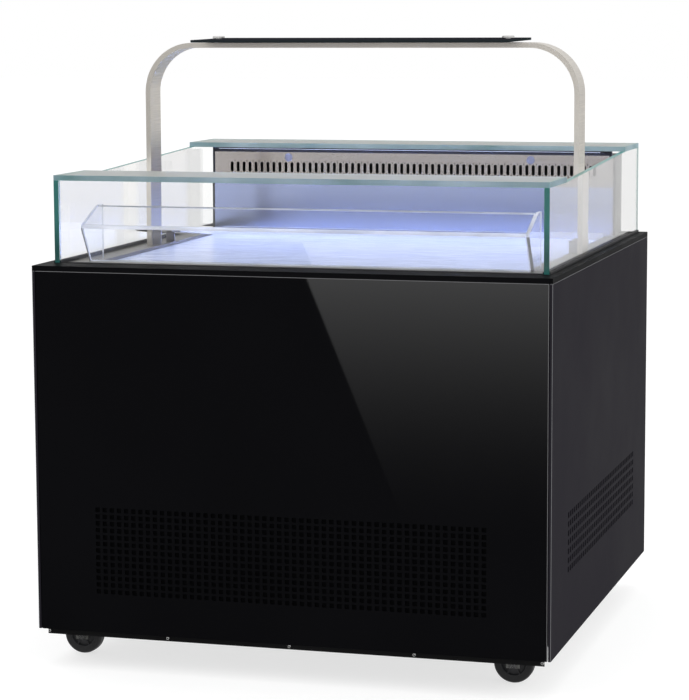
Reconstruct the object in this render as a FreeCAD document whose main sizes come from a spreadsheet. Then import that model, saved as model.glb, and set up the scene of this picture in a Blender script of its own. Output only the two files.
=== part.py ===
import FreeCAD, Part
import math
import os
import Sketcher

# Open-top refrigerated display merchandiser on casters.
# Origin: floor, under the middle of the cabinet. +Z is up and the front faces -Y.
# Every size is in millimetres and stands once, in the sheet below.

V = FreeCAD.Vector
doc = FreeCAD.newDocument("display_merchandiser")
sheet = doc.addObject("Spreadsheet::Sheet", "size")

DRIVING_SIZES = {
    # cabinet
    "body_width": 997,
    "body_depth": 1000,
    "panel_skirt": 25,
    "panel_height": 687,
    "side_thickness": 5,
    "front_thickness": 6,
    "front_panel_gap": 2,
    "rim_height": 10,
    "rim_side": 20,
    "rim_front": 65,
    "rim_rear": 8,
    "seat_clearance": 0.5,
    "tool_past": 1,
    # vents
    "vent_hole": 8.6,
    "front_vent_end": 112,
    "front_vent_rows": 13,
    "front_vent_pitch_across": 14.4,
    "front_vent_pitch_up": 13.1,
    "front_vent_rise": 75,
    "side_vent_end": 150,
    "side_vent_rows": 7,
    "side_vent_pitch_across": 18.5,
    "side_vent_pitch_up": 17.2,
    "side_vent_rise": 132,
    "side_vent_hole": 11,
    "louvre_count": 9,
    "louvre_left_margin": 60,
    "louvre_right_margin": 260,
    # kick strip
    "kick_drop": 12,
    "kick_inset": 12,
    "kick_thickness": 2,
    "kick_side_inset": 14,
    "kick_rise": 63,
    "kick_screw_radius": 4,
    "kick_screw_height": 2.5,
    "kick_screw_count": 5,
    # base pan and corner posts
    "pan_thickness": 3,
    "pan_lip": 30,
    "post_size": 30,
    "post_wall": 2,
    "post_clearance": 1,
    # tub
    "flange_thickness": 2,
    "well_side_margin": 50,
    "well_front_margin": 53,
    "well_rear_margin": 4,
    "tub_wall": 2,
    "tub_gap": 3.5,
    "foam_post_clearance": 1.5,
    "foam_front": 60,
    "foam_rear": 8,
    "foam_bottom": 50,
    "line_hole_radius": 14,
    # stainless inner rim
    "inner_rim_drop": 2,
    "inner_rim_sheet": 2,
    "ledge_drop": 14,
    "ledge_width": 12,
    # deck, grille
    "deck_top_drop": 8,
    "deck_sheet": 2,
    "deck_upstand": 14,
    "deck_clearance": 1,
    "grille_depth": 58,
    "grille_blade": 2,
    "grille_blades": 70,
    "grille_end_bar": 6,
    "grille_front_bar": 10,
    "grille_rear_bar": 4,
    "grille_lap": 1,
    # rear duct
    "duct_setback": 103,
    "duct_side_gap": 32,
    "duct_sheet": 2,
    "duct_rear_gap": 2,
    "duct_top_gap": 12,
    "slot_end": 36,
    "slot_pitch": 13.7,
    "slot_width": 6.5,
    "slot_height": 22,
    "slot_drop": 32.5,
    "plug_radius": 9,
    "plug_stand": 2,
    "plug_inset": 168.5,
    "plug_drop": 11,
    "gasket_width": 5,
    "lamp_height": 5,
    "lamp_depth": 20,
    "lamp_end_gap": 11.5,
    # glass
    "glass_thickness": 10,
    "glass_joint": 0.3,
    "front_glass_rise": 166,
    "rear_glass_rise": 190,
    "front_strip_depth": 155,
    "rear_strip_depth": 160,
    # canopy
    "arch_side_gap": 20,
    "arch_bar": 10,
    "arch_depth": 60,
    "arch_centre": 16,
    "arch_rise": 409,
    "arch_radius": 100,
    "shelf_end_gap": 24.5,
    "shelf_depth": 210,
    "shelf_thickness": 7,
    "shelf_lift": 1.5,
    "standoff_radius": 12.5,
    "standoff_inset": 24,
    "standoff_cap": 5,
    "standoff_pin_radius": 5,
    "standoff_clearance": 0.5,
    "bracket_sheet": 3,
    "bracket_length": 84,
    "bracket_width": 18,
    "bracket_height": 24,
    "bracket_setback": 6,
    # front guide
    "guide_sheet": 6,
    "guide_side_gap": 32.5,
    "guide_setback": 59,
    "guide_knee_forward": 45,
    "guide_knee_height": 70,
    "guide_top_back": 38,
    "guide_top_height": 105,
    "guide_rear_back": 66,
    "guide_foot_cut": 7.2,
    "guide_knee_cut": 8.1,
    "guide_knee_sink": 1.5,
    # refrigeration
    "machine_clearance": 2,
    "compressor_radius": 85,
    "compressor_height": 190,
    "compressor_round": 30,
    "compressor_side_gap": 228.5,
    "compressor_rear_gap": 240,
    "compressor_lift": 20,
    "compressor_foot_radius": 12,
    "compressor_foot_reach": 34,
    "head_room": 97,
    "condenser_half_width": 180,
    "condenser_thickness": 55,
    "condenser_height": 230,
    "condenser_setback": 60,
    "condenser_shift": 90,
    "condenser_fan_radius": 100,
    "evaporator_fan_radius": 65,
    "fan_hole_clearance": 6,
    "fan_plate_border": 10,
    "fan_plate_sheet": 3,
    "fan_bar_half_width": 12,
    "fan_bar_sheet": 4,
    "fan_can_length": 34,
    "fan_can_lap": 4,
    "fan_hub_radius": 28,
    "fan_blade_width": 24,
    "fan_blade_count": 5,
    "fan_blade_margin": 4,
    "fan_blade_root": 3,
    "fan_blade_thickness": 25.2,
    "fan_gap": 12,
    "fan_shaft_radius": 4,
    "fan_shaft_clearance": 0.05,
    "pipe_radius": 5,
    "pipe_bend": 12,
    "line_gap": 1,
    "discharge_offset": 30,
    "discharge_inset": 20,
    "discharge_rise": 60,
    "suction_offset": 20,
    "suction_rise": 64,
    "evaporator_side_gap": 118.5,
    "evaporator_line_gap": 40,
    "evaporator_depth": 150,
    "evaporator_height": 144,
    # controls on the rear panel
    "control_side_inset": 198.5,
    "control_drop": 50,
    "control_half_width": 37,
    "control_half_height": 16,
    "control_depth": 55,
    "control_bezel": 4,
    "button_width": 9,
    "button_height": 7,
    "button_stand": 0.8,
    "button_travel": 1,
    "button_pitch": 15,
    "button_clearance": 0.4,
    "button_pocket": 6,
    "button_first": 9,
    "button_float": 0.2,
    "display_recess": 0.8,
    "display_gap": 3,
    "rocker_width": 14,
    "rocker_height": 22,
    "rocker_drop": 60,
    "rocker_bezel": 3,
    "rocker_tilt_clearance": 1.2,
    "rocker_pin_radius": 1.5,
    "rocker_pin_depth": 6,
    "rocker_pin_end": 1,
    "rocker_case_depth": 24,
    "rocker_room_depth": 18,
    "rocker_tail": 9,
    "rocker_tail_half": 6,
    "rocker_low_face": 3.6,
    "rocker_mid_face": 2.2,
    "rocker_high_face": 5.2,
    "rocker_edge": 1.2,
    "inlet_radius": 11,
    "inlet_bore": 5,
    "inlet_depth": 26,
    "inlet_rise": 87,
    # casters
    "caster_end_inset": 128,
    "caster_clearance": 3.5,
    "caster_crown_gap": 6.5,
    "caster_plate": 78,
    "caster_plate_sheet": 3,
    "caster_pin_radius": 8,
    "caster_head_radius": 23,
    "caster_head_height": 11,
    "caster_trail": 26,
    "wheel_radius": 38,
    "wheel_width": 24,
    "wheel_hub_radius": 13,
    "fork_sheet": 3,
    "fork_gap": 1.5,
    "fork_leg_width": 26,
    "axle_radius": 5,
    "axle_clearance": 0.05,
    "axle_head_radius": 8.5,
    "axle_head": 4,
    "wheel_edge": 4.8,
    "wheel_web_inner": 3,
    "wheel_web_outer": 12.2,
    "wheel_web_lip": 2.3,
    "swivel_clearance": 0.5,
    "crown_nose": 18.4,
    "leg_drop": 8.7,
    "brake_width": 20,
    "brake_length": 17,
    "brake_sheet": 3,
    "brake_ear": 8,
    "brake_pin_radius": 2,
}


class Size:
    """A length that carries both its sheet expression and its present value."""

    def __init__(self, text, value):
        self.text = text
        self.value = value

    def __add__(self, other):
        other = as_size(other)
        return Size(f"({self.text} + {other.text})", self.value + other.value)

    def __sub__(self, other):
        other = as_size(other)
        return Size(f"({self.text} - {other.text})", self.value - other.value)

    def __mul__(self, other):
        other = as_size(other)
        return Size(f"({self.text} * {other.text})", self.value * other.value)

    def __truediv__(self, other):
        other = as_size(other)
        return Size(f"({self.text} / {other.text})", self.value / other.value)

    def __neg__(self):
        return Size(f"(0 - {self.text})", -self.value)

    __radd__ = __add__
    __rmul__ = __mul__

    def __rsub__(self, other):
        return as_size(other) - self


def as_size(number):
    """Wrap a plain count or factor so that it joins an expression."""
    return number if isinstance(number, Size) else Size(repr(float(number)), float(number))


def whole(value):
    """The largest whole number that is not above a size."""
    return Size(f"floor({value.text})", math.floor(value.value))


class Sheet:
    """Each alias of the sheet as a Size attribute."""


s = Sheet()
for row, (alias, number) in enumerate(DRIVING_SIZES.items(), 1):
    sheet.set(f"A{row}", alias)
    sheet.set(f"B{row}", str(number))
    sheet.setAlias(f"B{row}", alias)
doc.recompute()
for alias in DRIVING_SIZES:
    setattr(s, alias, Size(f"size.{alias}", float(sheet.get(alias))))

parts = []


def bind(item, prop, value):
    """Set a property and tie it to the sheet."""
    value = as_size(value)
    item.setExpression(prop, value.text)


def keep(item, label):
    """Name a finished sub-part."""
    item.Label = label
    parts.append(item)
    return item


def box(name, low, high):
    """A box between two corners."""
    item = doc.addObject("Part::Box", name)
    for prop, axis, a, b in zip(("Length", "Width", "Height"), "xyz", low, high):
        bind(item, prop, as_size(b) - a)
        bind(item, f"Placement.Base.{axis}", a)
    return item


def rod(name, centre, radius, length, axis="z"):
    """A cylinder that starts at centre and runs along +axis (along -Y for axis y)."""
    item = doc.addObject("Part::Cylinder", name)
    turns = {
        "x": FreeCAD.Rotation(V(0, 1, 0), 90),
        "y": FreeCAD.Rotation(V(1, 0, 0), 90),
        "z": FreeCAD.Rotation(),
    }
    item.Placement = FreeCAD.Placement(V(0, 0, 0), turns[axis])
    bind(item, "Radius", radius)
    bind(item, "Height", length)
    for letter, value in zip("xyz", centre):
        bind(item, f"Placement.Base.{letter}", value)
    return item


def cut(name, base, *tools):
    """The base with each tool taken out of it."""
    for number, tool in enumerate(tools):
        item = doc.addObject("Part::Cut", f"{name}_cut{number}")
        item.Base = base
        item.Tool = tool
        base = item
    return base


def fuse(name, *pieces):
    """One solid from touching pieces."""
    item = doc.addObject("Part::MultiFuse", f"{name}_fuse")
    item.Shapes = list(pieces)
    item.Refine = True
    return item


def group(name, *pieces):
    """Separate solids that share one node."""
    item = doc.addObject("Part::Compound", f"{name}_group")
    item.Links = list(pieces)
    return item


def origin_plane(body, role):
    return next(item for item in body.Origin.OriginFeatures if item.Role == role)


def outline(body, role, points, name="outline"):
    """A closed sketch of straight lines with each corner tied to the sheet."""
    sketch = body.newObject("Sketcher::SketchObject", name)
    sketch.AttachmentSupport = (origin_plane(body, role), [""])
    sketch.MapMode = "FlatFace"
    corners = [(as_size(a), as_size(b)) for a, b in points]
    count = len(corners)
    for number, (a, b) in enumerate(corners):
        c, d = corners[(number + 1) % count]
        line = Part.LineSegment(V(a.value, b.value, 0), V(c.value, d.value, 0))
        sketch.addGeometry(line, False)
    for number in range(count):
        sketch.addConstraint(Sketcher.Constraint("Coincident", number, 2, (number + 1) % count, 1))
    for number, (a, b) in enumerate(corners):
        for kind, letter, value in (("DistanceX", "a", a), ("DistanceY", "b", b)):
            index = sketch.addConstraint(Sketcher.Constraint(kind, number, 1, value.value))
            sketch.renameConstraint(index, f"{letter}{number}")
            sketch.setExpression(f"Constraints.{letter}{number}", value.text)
    return sketch


def place(item, x=0, y=0, z=0):
    for letter, value in zip("xyz", (x, y, z)):
        bind(item, f"Placement.Base.{letter}", value)
    return item


def pad(body, sketch, length, midplane=False, reverse=False, name="pad"):
    feature = body.newObject("PartDesign::Pad", name)
    feature.Profile = sketch
    feature.Midplane = midplane
    feature.Reversed = reverse
    bind(feature, "Length", length)
    return feature


def pocket_through(body, sketch, name="pocket"):
    feature = body.newObject("PartDesign::Pocket", name)
    feature.Profile = sketch
    feature.Type = 1
    feature.Midplane = True
    return feature


def revolve(body, sketch, axis="V_Axis", name="turned"):
    feature = body.newObject("PartDesign::Revolution", name)
    feature.Profile = sketch
    feature.ReferenceAxis = (sketch, [axis])
    feature.Angle = 360
    return feature


def new_body(name):
    return doc.addObject("PartDesign::Body", name)


def slab(name, role, points, thickness, x=0, y=0, z=0):
    """A body padded from one outline, centred on its plane, then placed."""
    body = new_body(name)
    pad(body, outline(body, role, points), thickness, midplane=True)
    return place(body, x, y, z)


def fillet_edges(body, feature, radius, choose, name="fillet"):
    """Round the feature's edges that choose() picks by their middle point and direction."""
    doc.recompute()
    names = []
    for number, edge in enumerate(feature.Shape.Edges, 1):
        first, last = edge.Vertexes[0].Point, edge.Vertexes[-1].Point
        if choose((first + last) / 2, last - first):
            names.append(f"Edge{number}")
    item = body.newObject("PartDesign::Fillet", name)
    item.Base = (feature, names)
    bind(item, "Radius", radius)
    return item


def perforated(name, low, high, hole, columns, rows, pitch_across, pitch_up, bottom, normal):
    """A flat panel punched with a grid of square holes, centred across the panel."""
    across, through = (0, 1) if normal == "y" else (1, 0)

    def loop(a0, z0, a1, z1):
        corners = []
        for a, z in ((a0, z0), (a1, z0), (a1, z1), (a0, z1), (a0, z0)):
            point = [0, 0, z]
            point[across] = a
            point[through] = low[through].value
            corners.append(V(*point))
        return Part.makePolygon(corners)

    a0, a1 = low[across].value, high[across].value
    wires = [loop(a0, low[2].value, a1, high[2].value)]
    middle = (a0 + a1) / 2
    first = middle - (columns.value - 1) * pitch_across.value / 2 - hole.value / 2
    for column in range(int(columns.value)):
        for row in range(int(rows.value)):
            a = first + column * pitch_across.value
            z = bottom.value + row * pitch_up.value
            wires.append(loop(a, z, a + hole.value, z + hole.value))
    depth = high[through].value - low[through].value
    direction = V(0, depth, 0) if normal == "y" else V(depth, 0, 0)
    item = doc.addObject("Part::Feature", name)
    item.Shape = Part.Face(wires, "Part::FaceMakerBullseye").extrude(direction)
    return item


# Places worked out from the driving sizes
half_width = s.body_width / 2
half_depth = s.body_depth / 2
crown_bottom = s.wheel_radius * 2 + s.caster_crown_gap
head_bottom = crown_bottom + s.fork_sheet
head_top = head_bottom + s.caster_head_height
plate_bottom = head_top + s.swivel_clearance
pan_bottom = plate_bottom + s.caster_plate_sheet
pan_top = pan_bottom + s.pan_thickness
panel_bottom = pan_bottom - s.panel_skirt
panel_top = panel_bottom + s.panel_height
rim_top = panel_top + s.rim_height
glass_side = half_width - s.rim_side
glass_front = half_depth - s.rim_front
glass_rear = half_depth - s.rim_rear
inner_side = glass_side - s.glass_thickness
inner_front = glass_front - s.glass_thickness
inner_rear = glass_rear - s.glass_thickness
inner_rim_top = rim_top - s.inner_rim_drop
deck_top = rim_top - s.deck_top_drop
flange_bottom = panel_top - s.flange_thickness
ledge_top = inner_rim_top - s.inner_rim_sheet - s.ledge_drop
well_x = inner_side - s.well_side_margin
well_front = inner_front - s.well_front_margin
well_rear = inner_rear - s.well_rear_margin
front_glass_top = rim_top + s.front_glass_rise
rear_glass_top = rim_top + s.rear_glass_rise
rear_strip_bottom = rear_glass_top - s.glass_thickness
compressor_top = pan_top + s.compressor_lift + s.compressor_height
foam_low = compressor_top + s.head_room
liner_bottom = foam_low + s.foam_bottom + s.tub_wall

# ---------------------------------------------------------------- outer panels
inside_side = half_width - s.side_thickness - s.front_panel_gap
keep(
    perforated(
        "front_panel",
        (-inside_side, -half_depth, panel_bottom),
        (inside_side, -half_depth + s.front_thickness, panel_top),
        s.vent_hole,
        whole((inside_side - s.front_vent_end) * 2 / s.front_vent_pitch_across) + 1,
        s.front_vent_rows,
        s.front_vent_pitch_across,
        s.front_vent_pitch_up,
        panel_bottom + s.front_vent_rise,
        "y",
    ),
    "front_panel",
)
for label, outer in (("left_panel", -half_width), ("right_panel", half_width - s.side_thickness)):
    keep(
        perforated(
            label,
            (outer, -half_depth, panel_bottom),
            (outer + s.side_thickness, half_depth, panel_top),
            s.side_vent_hole,
            whole((half_depth - s.side_vent_end) * 2 / s.side_vent_pitch_across) + 1,
            s.side_vent_rows,
            s.side_vent_pitch_across,
            s.side_vent_pitch_up,
            panel_bottom + s.side_vent_rise,
            "x",
        ),
        label,
    )

control_x = half_width - s.control_side_inset
control_height = foam_low - s.control_drop
control_low = control_height - s.control_half_height
control_high = control_height + s.control_half_height
inlet_height = pan_top + s.inlet_rise
rocker_centre = control_height - s.rocker_drop
rocker_hole_x = s.rocker_width / 2 + s.rocker_bezel
rocker_hole_z = s.rocker_height / 2 + s.rocker_bezel
rear_low = half_depth - s.side_thickness
cut_front = rear_low - s.tool_past
cut_rear = half_depth + s.tool_past
control_window = s.control_half_width + s.seat_clearance
rocker_window = rocker_hole_x + s.seat_clearance
louvres = []
for number in range(int(s.louvre_count.value)):
    louvre_low = panel_bottom + s.side_vent_rise + number * s.side_vent_pitch_up
    louvres.append(
        box(
            f"louvre_{number}",
            (-well_x + s.louvre_left_margin, cut_front, louvre_low),
            (well_x - s.louvre_right_margin, cut_rear, louvre_low + s.vent_hole),
        )
    )
keep(
    cut(
        "rear_panel",
        box("rear_slab", (-inside_side, rear_low, panel_bottom), (inside_side, half_depth, panel_top)),
        box(
            "controller_window",
            (control_x - control_window, cut_front, control_low - s.seat_clearance),
            (control_x + control_window, cut_rear, control_high + s.seat_clearance),
        ),
        box(
            "rocker_window",
            (control_x - rocker_window, cut_front, rocker_centre - rocker_hole_z - s.seat_clearance),
            (control_x + rocker_window, cut_rear, rocker_centre + rocker_hole_z + s.seat_clearance),
        ),
        rod(
            "inlet_window",
            (control_x, cut_rear, inlet_height),
            s.inlet_radius + s.seat_clearance,
            s.side_thickness + s.tool_past * 2,
            "y",
        ),
        *louvres,
    ),
    "rear_panel",
)

# ---------------------------------------------------------------- rim on top of the panels
keep(
    cut(
        "top_rim",
        box("rim_slab", (-half_width, -half_depth, panel_top), (half_width, half_depth, rim_top)),
        box(
            "rim_window",
            (-glass_side - s.seat_clearance, -glass_front - s.seat_clearance, panel_top - s.tool_past),
            (glass_side + s.seat_clearance, glass_rear + s.seat_clearance, rim_top + s.tool_past),
        ),
    ),
    "top_rim",
)

# ---------------------------------------------------------------- kick strip and its screws
kick_front = -half_depth + s.kick_inset
kick_end = half_width - s.kick_side_inset
keep(
    box(
        "kick_strip",
        (-kick_end, kick_front, panel_bottom - s.kick_drop),
        (kick_end, kick_front + s.kick_thickness, panel_bottom + s.kick_rise),
    ),
    "kick_strip",
)
screw_span = kick_end * 2 - s.kick_screw_radius * 2
screw_first = -kick_end + s.kick_screw_radius
screw_height = panel_bottom - s.kick_drop / 2
screws = [
    rod(
        f"kick_screw_{number}",
        (screw_first + screw_span * number / (s.kick_screw_count - 1), kick_front, screw_height),
        s.kick_screw_radius,
        s.kick_screw_height,
        "y",
    )
    for number in range(int(s.kick_screw_count.value))
]
keep(group("kick_strip_screws", *screws), "kick_strip_screws")

# ---------------------------------------------------------------- base pan and corner posts
pan_x = inside_side
pan_front = kick_front + s.kick_thickness
pan_rear = rear_low
pan_rim = pan_bottom + s.pan_lip
keep(
    cut(
        "base_pan",
        box("pan_block", (-pan_x, pan_front, pan_bottom), (pan_x, pan_rear, pan_rim)),
        box(
            "pan_room",
            (-pan_x + s.pan_thickness, pan_front + s.pan_thickness, pan_top),
            (pan_x - s.pan_thickness, pan_rear - s.pan_thickness, pan_rim + s.tool_past),
        ),
    ),
    "base_pan",
)
post_gap = s.pan_thickness + s.post_clearance
post_x = pan_x - post_gap
post_front = pan_front + post_gap
post_rear = pan_rear - post_gap
bore_size = s.post_size - s.post_wall
posts = []
for side, x0 in (("left", -post_x), ("right", post_x - s.post_size)):
    for end, y0 in (("front", post_front), ("rear", post_rear - s.post_size)):
        outer = box(
            f"post_{side}_{end}",
            (x0, y0, pan_top),
            (x0 + s.post_size, y0 + s.post_size, flange_bottom),
        )
        bore = box(
            f"post_bore_{side}_{end}",
            (x0 + s.post_wall, y0 + s.post_wall, pan_top - s.tool_past),
            (x0 + bore_size, y0 + bore_size, flange_bottom + s.tool_past),
        )
        posts.append(cut(f"post_tube_{side}_{end}", outer, bore))
keep(group("corner_posts", *posts), "corner_posts")

# ---------------------------------------------------------------- insulated tub
liner_x = well_x + s.tub_gap
liner_front = well_front + s.tub_gap
liner_rear = well_rear + s.tub_gap
shell_x = liner_x + s.tub_wall
shell_front = liner_front + s.tub_wall
shell_rear = liner_rear + s.tub_wall
shell_bottom = liner_bottom - s.tub_wall
compressor_x = half_width - s.side_thickness - s.compressor_side_gap - s.compressor_radius
compressor_y = half_depth - s.side_thickness - s.compressor_rear_gap - s.compressor_radius
line_y = compressor_y - s.suction_offset
keep(
    cut(
        "tub_liner",
        fuse(
            "tub_liner",
            box(
                "liner_flange",
                (-pan_x, -half_depth + s.front_thickness, flange_bottom),
                (pan_x, rear_low, panel_top),
            ),
            box(
                "liner_walls",
                (-shell_x, -shell_front, shell_bottom),
                (shell_x, shell_rear, flange_bottom + s.flange_thickness / 2),
            ),
        ),
        box(
            "liner_room",
            (-liner_x, -liner_front, liner_bottom),
            (liner_x, liner_rear, panel_top + s.tool_past),
        ),
        rod(
            "liner_line_hole",
            (compressor_x, line_y, shell_bottom - s.tool_past),
            s.line_hole_radius,
            s.tub_wall + s.tool_past * 2,
        ),
    ),
    "tub_liner",
)
foam_x = post_x - s.post_size - s.foam_post_clearance
keep(
    cut(
        "tub_foam",
        box(
            "foam_block",
            (-foam_x, -shell_front - s.foam_front, foam_low),
            (foam_x, shell_rear + s.foam_rear, flange_bottom),
        ),
        box(
            "foam_room",
            (-shell_x, -shell_front, shell_bottom),
            (shell_x, shell_rear, flange_bottom + s.tool_past),
        ),
        rod(
            "foam_line_hole",
            (compressor_x, line_y, foam_low - s.tool_past),
            s.line_hole_radius,
            s.foam_bottom + s.tool_past * 2,
        ),
    ),
    "tub_foam",
)

# ---------------------------------------------------------------- stainless inner rim with the deck ledge
ring_x = inner_side - s.seat_clearance
ring_front = inner_front - s.seat_clearance
ring_rear = inner_rear - s.seat_clearance
ring = cut(
    "inner_rim",
    box("ring_block", (-ring_x, -ring_front, panel_top), (ring_x, ring_rear, inner_rim_top)),
    box(
        "ring_under",
        (-ring_x + s.inner_rim_sheet, -ring_front + s.inner_rim_sheet, panel_top - s.tool_past),
        (ring_x - s.inner_rim_sheet, ring_rear - s.inner_rim_sheet, inner_rim_top - s.inner_rim_sheet),
    ),
)
web = box(
    "ring_web",
    (-well_x - s.inner_rim_sheet, -well_front - s.inner_rim_sheet, ledge_top - s.inner_rim_sheet),
    (well_x + s.inner_rim_sheet, well_rear + s.inner_rim_sheet, inner_rim_top),
)
ledge_x = well_x - s.ledge_width
keep(
    cut(
        "inner_rim_opened",
        fuse("inner_rim", ring, web),
        box("ring_well", (-well_x, -well_front, ledge_top), (well_x, well_rear, rim_top)),
        box(
            "ring_ledge_hole",
            (-ledge_x, -well_front + s.ledge_width, ledge_top - s.inner_rim_sheet - s.tool_past),
            (ledge_x, well_rear - s.ledge_width, ledge_top + s.tool_past),
        ),
    ),
    "inner_rim",
)

# ---------------------------------------------------------------- deck pan and intake grille
duct_front = inner_rear - s.duct_setback
deck_x = well_x - s.deck_clearance
grille_front = -well_front + s.deck_clearance
grille_rear = -well_front + s.grille_depth
deck_front = grille_rear + s.deck_clearance
deck_rear = duct_front - s.deck_clearance
deck_under = ledge_top - s.tool_past
deck_block = box("deck_block", (-deck_x, deck_front, ledge_top), (deck_x, deck_rear, deck_top))
deck_room = box(
    "deck_room",
    (-deck_x + s.deck_sheet, deck_front + s.deck_sheet, deck_under),
    (deck_x - s.deck_sheet, deck_rear - s.deck_sheet, deck_top - s.deck_sheet),
)
deck_wall = box(
    "deck_upstand",
    (-deck_x, deck_rear - s.deck_sheet, deck_top - s.deck_sheet),
    (deck_x, deck_rear, deck_top + s.deck_upstand),
)
keep(fuse("deck_pan", cut("deck_tray", deck_block, deck_room), deck_wall), "deck_pan")

window_x = deck_x - s.grille_end_bar
window_front = grille_front + s.grille_front_bar
window_rear = grille_rear - s.grille_rear_bar
grille_frame = cut(
    "grille_frame",
    box("grille_block", (-deck_x, grille_front, ledge_top), (deck_x, grille_rear, deck_top)),
    box(
        "grille_window",
        (-window_x, window_front, deck_under),
        (window_x, window_rear, deck_top + s.tool_past),
    ),
)
blade_pitch = window_x * 2 / (s.grille_blades + 1)
blades = []
for number in range(int(s.grille_blades.value)):
    blade_x = -window_x + blade_pitch * (number + 1) - s.grille_blade / 2
    blades.append(
        box(
            f"blade_{number}",
            (blade_x, window_front - s.grille_lap, ledge_top),
            (blade_x + s.grille_blade, window_rear + s.grille_lap, deck_top),
        )
    )
keep(fuse("intake_grille", grille_frame, *blades), "intake_grille")

# ---------------------------------------------------------------- rear duct
duct_x = inner_side - s.duct_side_gap
duct_top = rear_strip_bottom - s.duct_top_gap
duct_back = duct_front + s.duct_sheet
duct_rear = inner_rear - s.duct_rear_gap
slot_count = whole((duct_x - s.slot_end) * 2 / s.slot_pitch) + 1
slot_top = duct_top - s.slot_drop + s.slot_height / 2
duct_panel = new_body("duct_panel")
face = outline(
    duct_panel,
    "XZ_Plane",
    [
        (-duct_x, inner_rim_top),
        (duct_x, inner_rim_top),
        (duct_x, duct_top),
        (-duct_x, duct_top),
    ],
)
pad(duct_panel, face, s.duct_sheet, reverse=True)
first_slot = -(slot_count - 1) * s.slot_pitch / 2
slot_sketch = outline(
    duct_panel,
    "XZ_Plane",
    [
        (first_slot - s.slot_width / 2, slot_top - s.slot_height),
        (first_slot + s.slot_width / 2, slot_top - s.slot_height),
        (first_slot + s.slot_width / 2, slot_top),
        (first_slot - s.slot_width / 2, slot_top),
    ],
    "slot_outline",
)
slot = pocket_through(duct_panel, slot_sketch, "slot")
slots = duct_panel.newObject("PartDesign::LinearPattern", "slot_row")
slots.Originals = [slot]
slots.Direction = (slot_sketch, ["H_Axis"])
bind(slots, "Length", (slot_count - 1) * s.slot_pitch)
bind(slots, "Occurrences", slot_count)
duct_panel.Tip = slots
place(duct_panel, 0, duct_front, 0)
keep(duct_panel, "duct_panel")
plug_x = duct_x - s.plug_inset
plug_z = duct_top - s.plug_drop
keep(
    group(
        "duct_plugs",
        rod("plug_left", (-plug_x, duct_front, plug_z), s.plug_radius, s.plug_stand, "y"),
        rod("plug_right", (plug_x, duct_front, plug_z), s.plug_radius, s.plug_stand, "y"),
    ),
    "duct_plugs",
)
keep(
    cut(
        "duct_housing",
        box("duct_block", (-duct_x, duct_back, inner_rim_top), (duct_x, duct_rear, duct_top)),
        box(
            "duct_room",
            (-duct_x + s.duct_sheet, duct_back - s.tool_past, inner_rim_top - s.tool_past),
            (duct_x - s.duct_sheet, duct_rear - s.duct_sheet, duct_top - s.duct_sheet),
        ),
    ),
    "duct_housing",
)
gasket_x = duct_x + s.gasket_width
gasket_top = rear_strip_bottom - s.glass_joint
gasket_rear = duct_back + s.gasket_width
keep(
    cut(
        "duct_gasket",
        box("gasket_block", (-gasket_x, duct_front, inner_rim_top), (gasket_x, gasket_rear, gasket_top)),
        box(
            "gasket_room",
            (-duct_x, duct_front - s.tool_past, inner_rim_top - s.tool_past),
            (duct_x, gasket_rear + s.tool_past, duct_top),
        ),
    ),
    "duct_gasket",
)
lamp_x = duct_x - s.lamp_end_gap
keep(
    box(
        "led_lamp",
        (-lamp_x, deck_rear - s.lamp_depth, gasket_top - s.lamp_height),
        (lamp_x, deck_rear, gasket_top),
    ),
    "led_lamp",
)

# ---------------------------------------------------------------- glass
glass_bottom = panel_top
front_strip_bottom = front_glass_top - s.glass_thickness
front_strip_rear = -glass_front + s.front_strip_depth
rear_strip_front = glass_rear - s.rear_strip_depth
side_profile = [
    (-glass_front, glass_bottom),
    (glass_rear, glass_bottom),
    (glass_rear, rear_strip_bottom),
    (rear_strip_front, rear_strip_bottom),
    (front_strip_rear, front_strip_bottom),
    (-glass_front, front_strip_bottom),
]
glass_middle = glass_side - s.glass_thickness / 2
for label, centre in (("glass_left", -glass_middle), ("glass_right", glass_middle)):
    keep(slab(label, "YZ_Plane", side_profile, s.glass_thickness, x=centre), label)
pane_x = inner_side - s.glass_joint
keep(
    box("glass_front", (-pane_x, -glass_front, glass_bottom), (pane_x, -inner_front, front_strip_bottom)),
    "glass_front",
)
keep(
    box("glass_rear", (-pane_x, inner_rear, glass_bottom), (pane_x, glass_rear, rear_strip_bottom)),
    "glass_rear",
)
keep(
    box(
        "glass_top_front",
        (-glass_side, -glass_front, front_strip_bottom),
        (glass_side, front_strip_rear, front_glass_top),
    ),
    "glass_top_front",
)
keep(
    box(
        "glass_top_rear",
        (-glass_side, rear_strip_front, rear_strip_bottom),
        (glass_side, glass_rear, rear_glass_top),
    ),
    "glass_top_rear",
)

# ---------------------------------------------------------------- canopy arch, shelf and brackets
arch_x = inner_side - s.arch_side_gap
arch_inner_x = arch_x - s.arch_bar
arch_top = rim_top + s.arch_rise


def rounded_block(name, half_x, low, high, depth, radius):
    """A block across the cabinet whose two upper corners are round."""
    body = new_body(name)
    corners = [(-half_x, low), (half_x, low), (half_x, high), (-half_x, high)]
    block = pad(body, outline(body, "XZ_Plane", corners), depth, midplane=True, name=f"{name}_block")
    middle_height = (low.value + high.value) / 2
    fillet_edges(
        body,
        block,
        radius,
        lambda middle, run: middle.z > middle_height and abs(run.y) > abs(run.x) + abs(run.z),
        f"{name}_bend",
    )
    return place(body, 0, s.arch_centre, 0)


keep(
    cut(
        "canopy_arch",
        rounded_block("arch_outer", arch_x, inner_rim_top, arch_top, s.arch_depth, s.arch_radius),
        rounded_block(
            "arch_inner",
            arch_inner_x,
            inner_rim_top - s.tool_past,
            arch_top - s.arch_bar,
            s.arch_depth + s.tool_past * 2,
            s.arch_radius - s.arch_bar,
        ),
    ),
    "canopy_arch",
)

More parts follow.
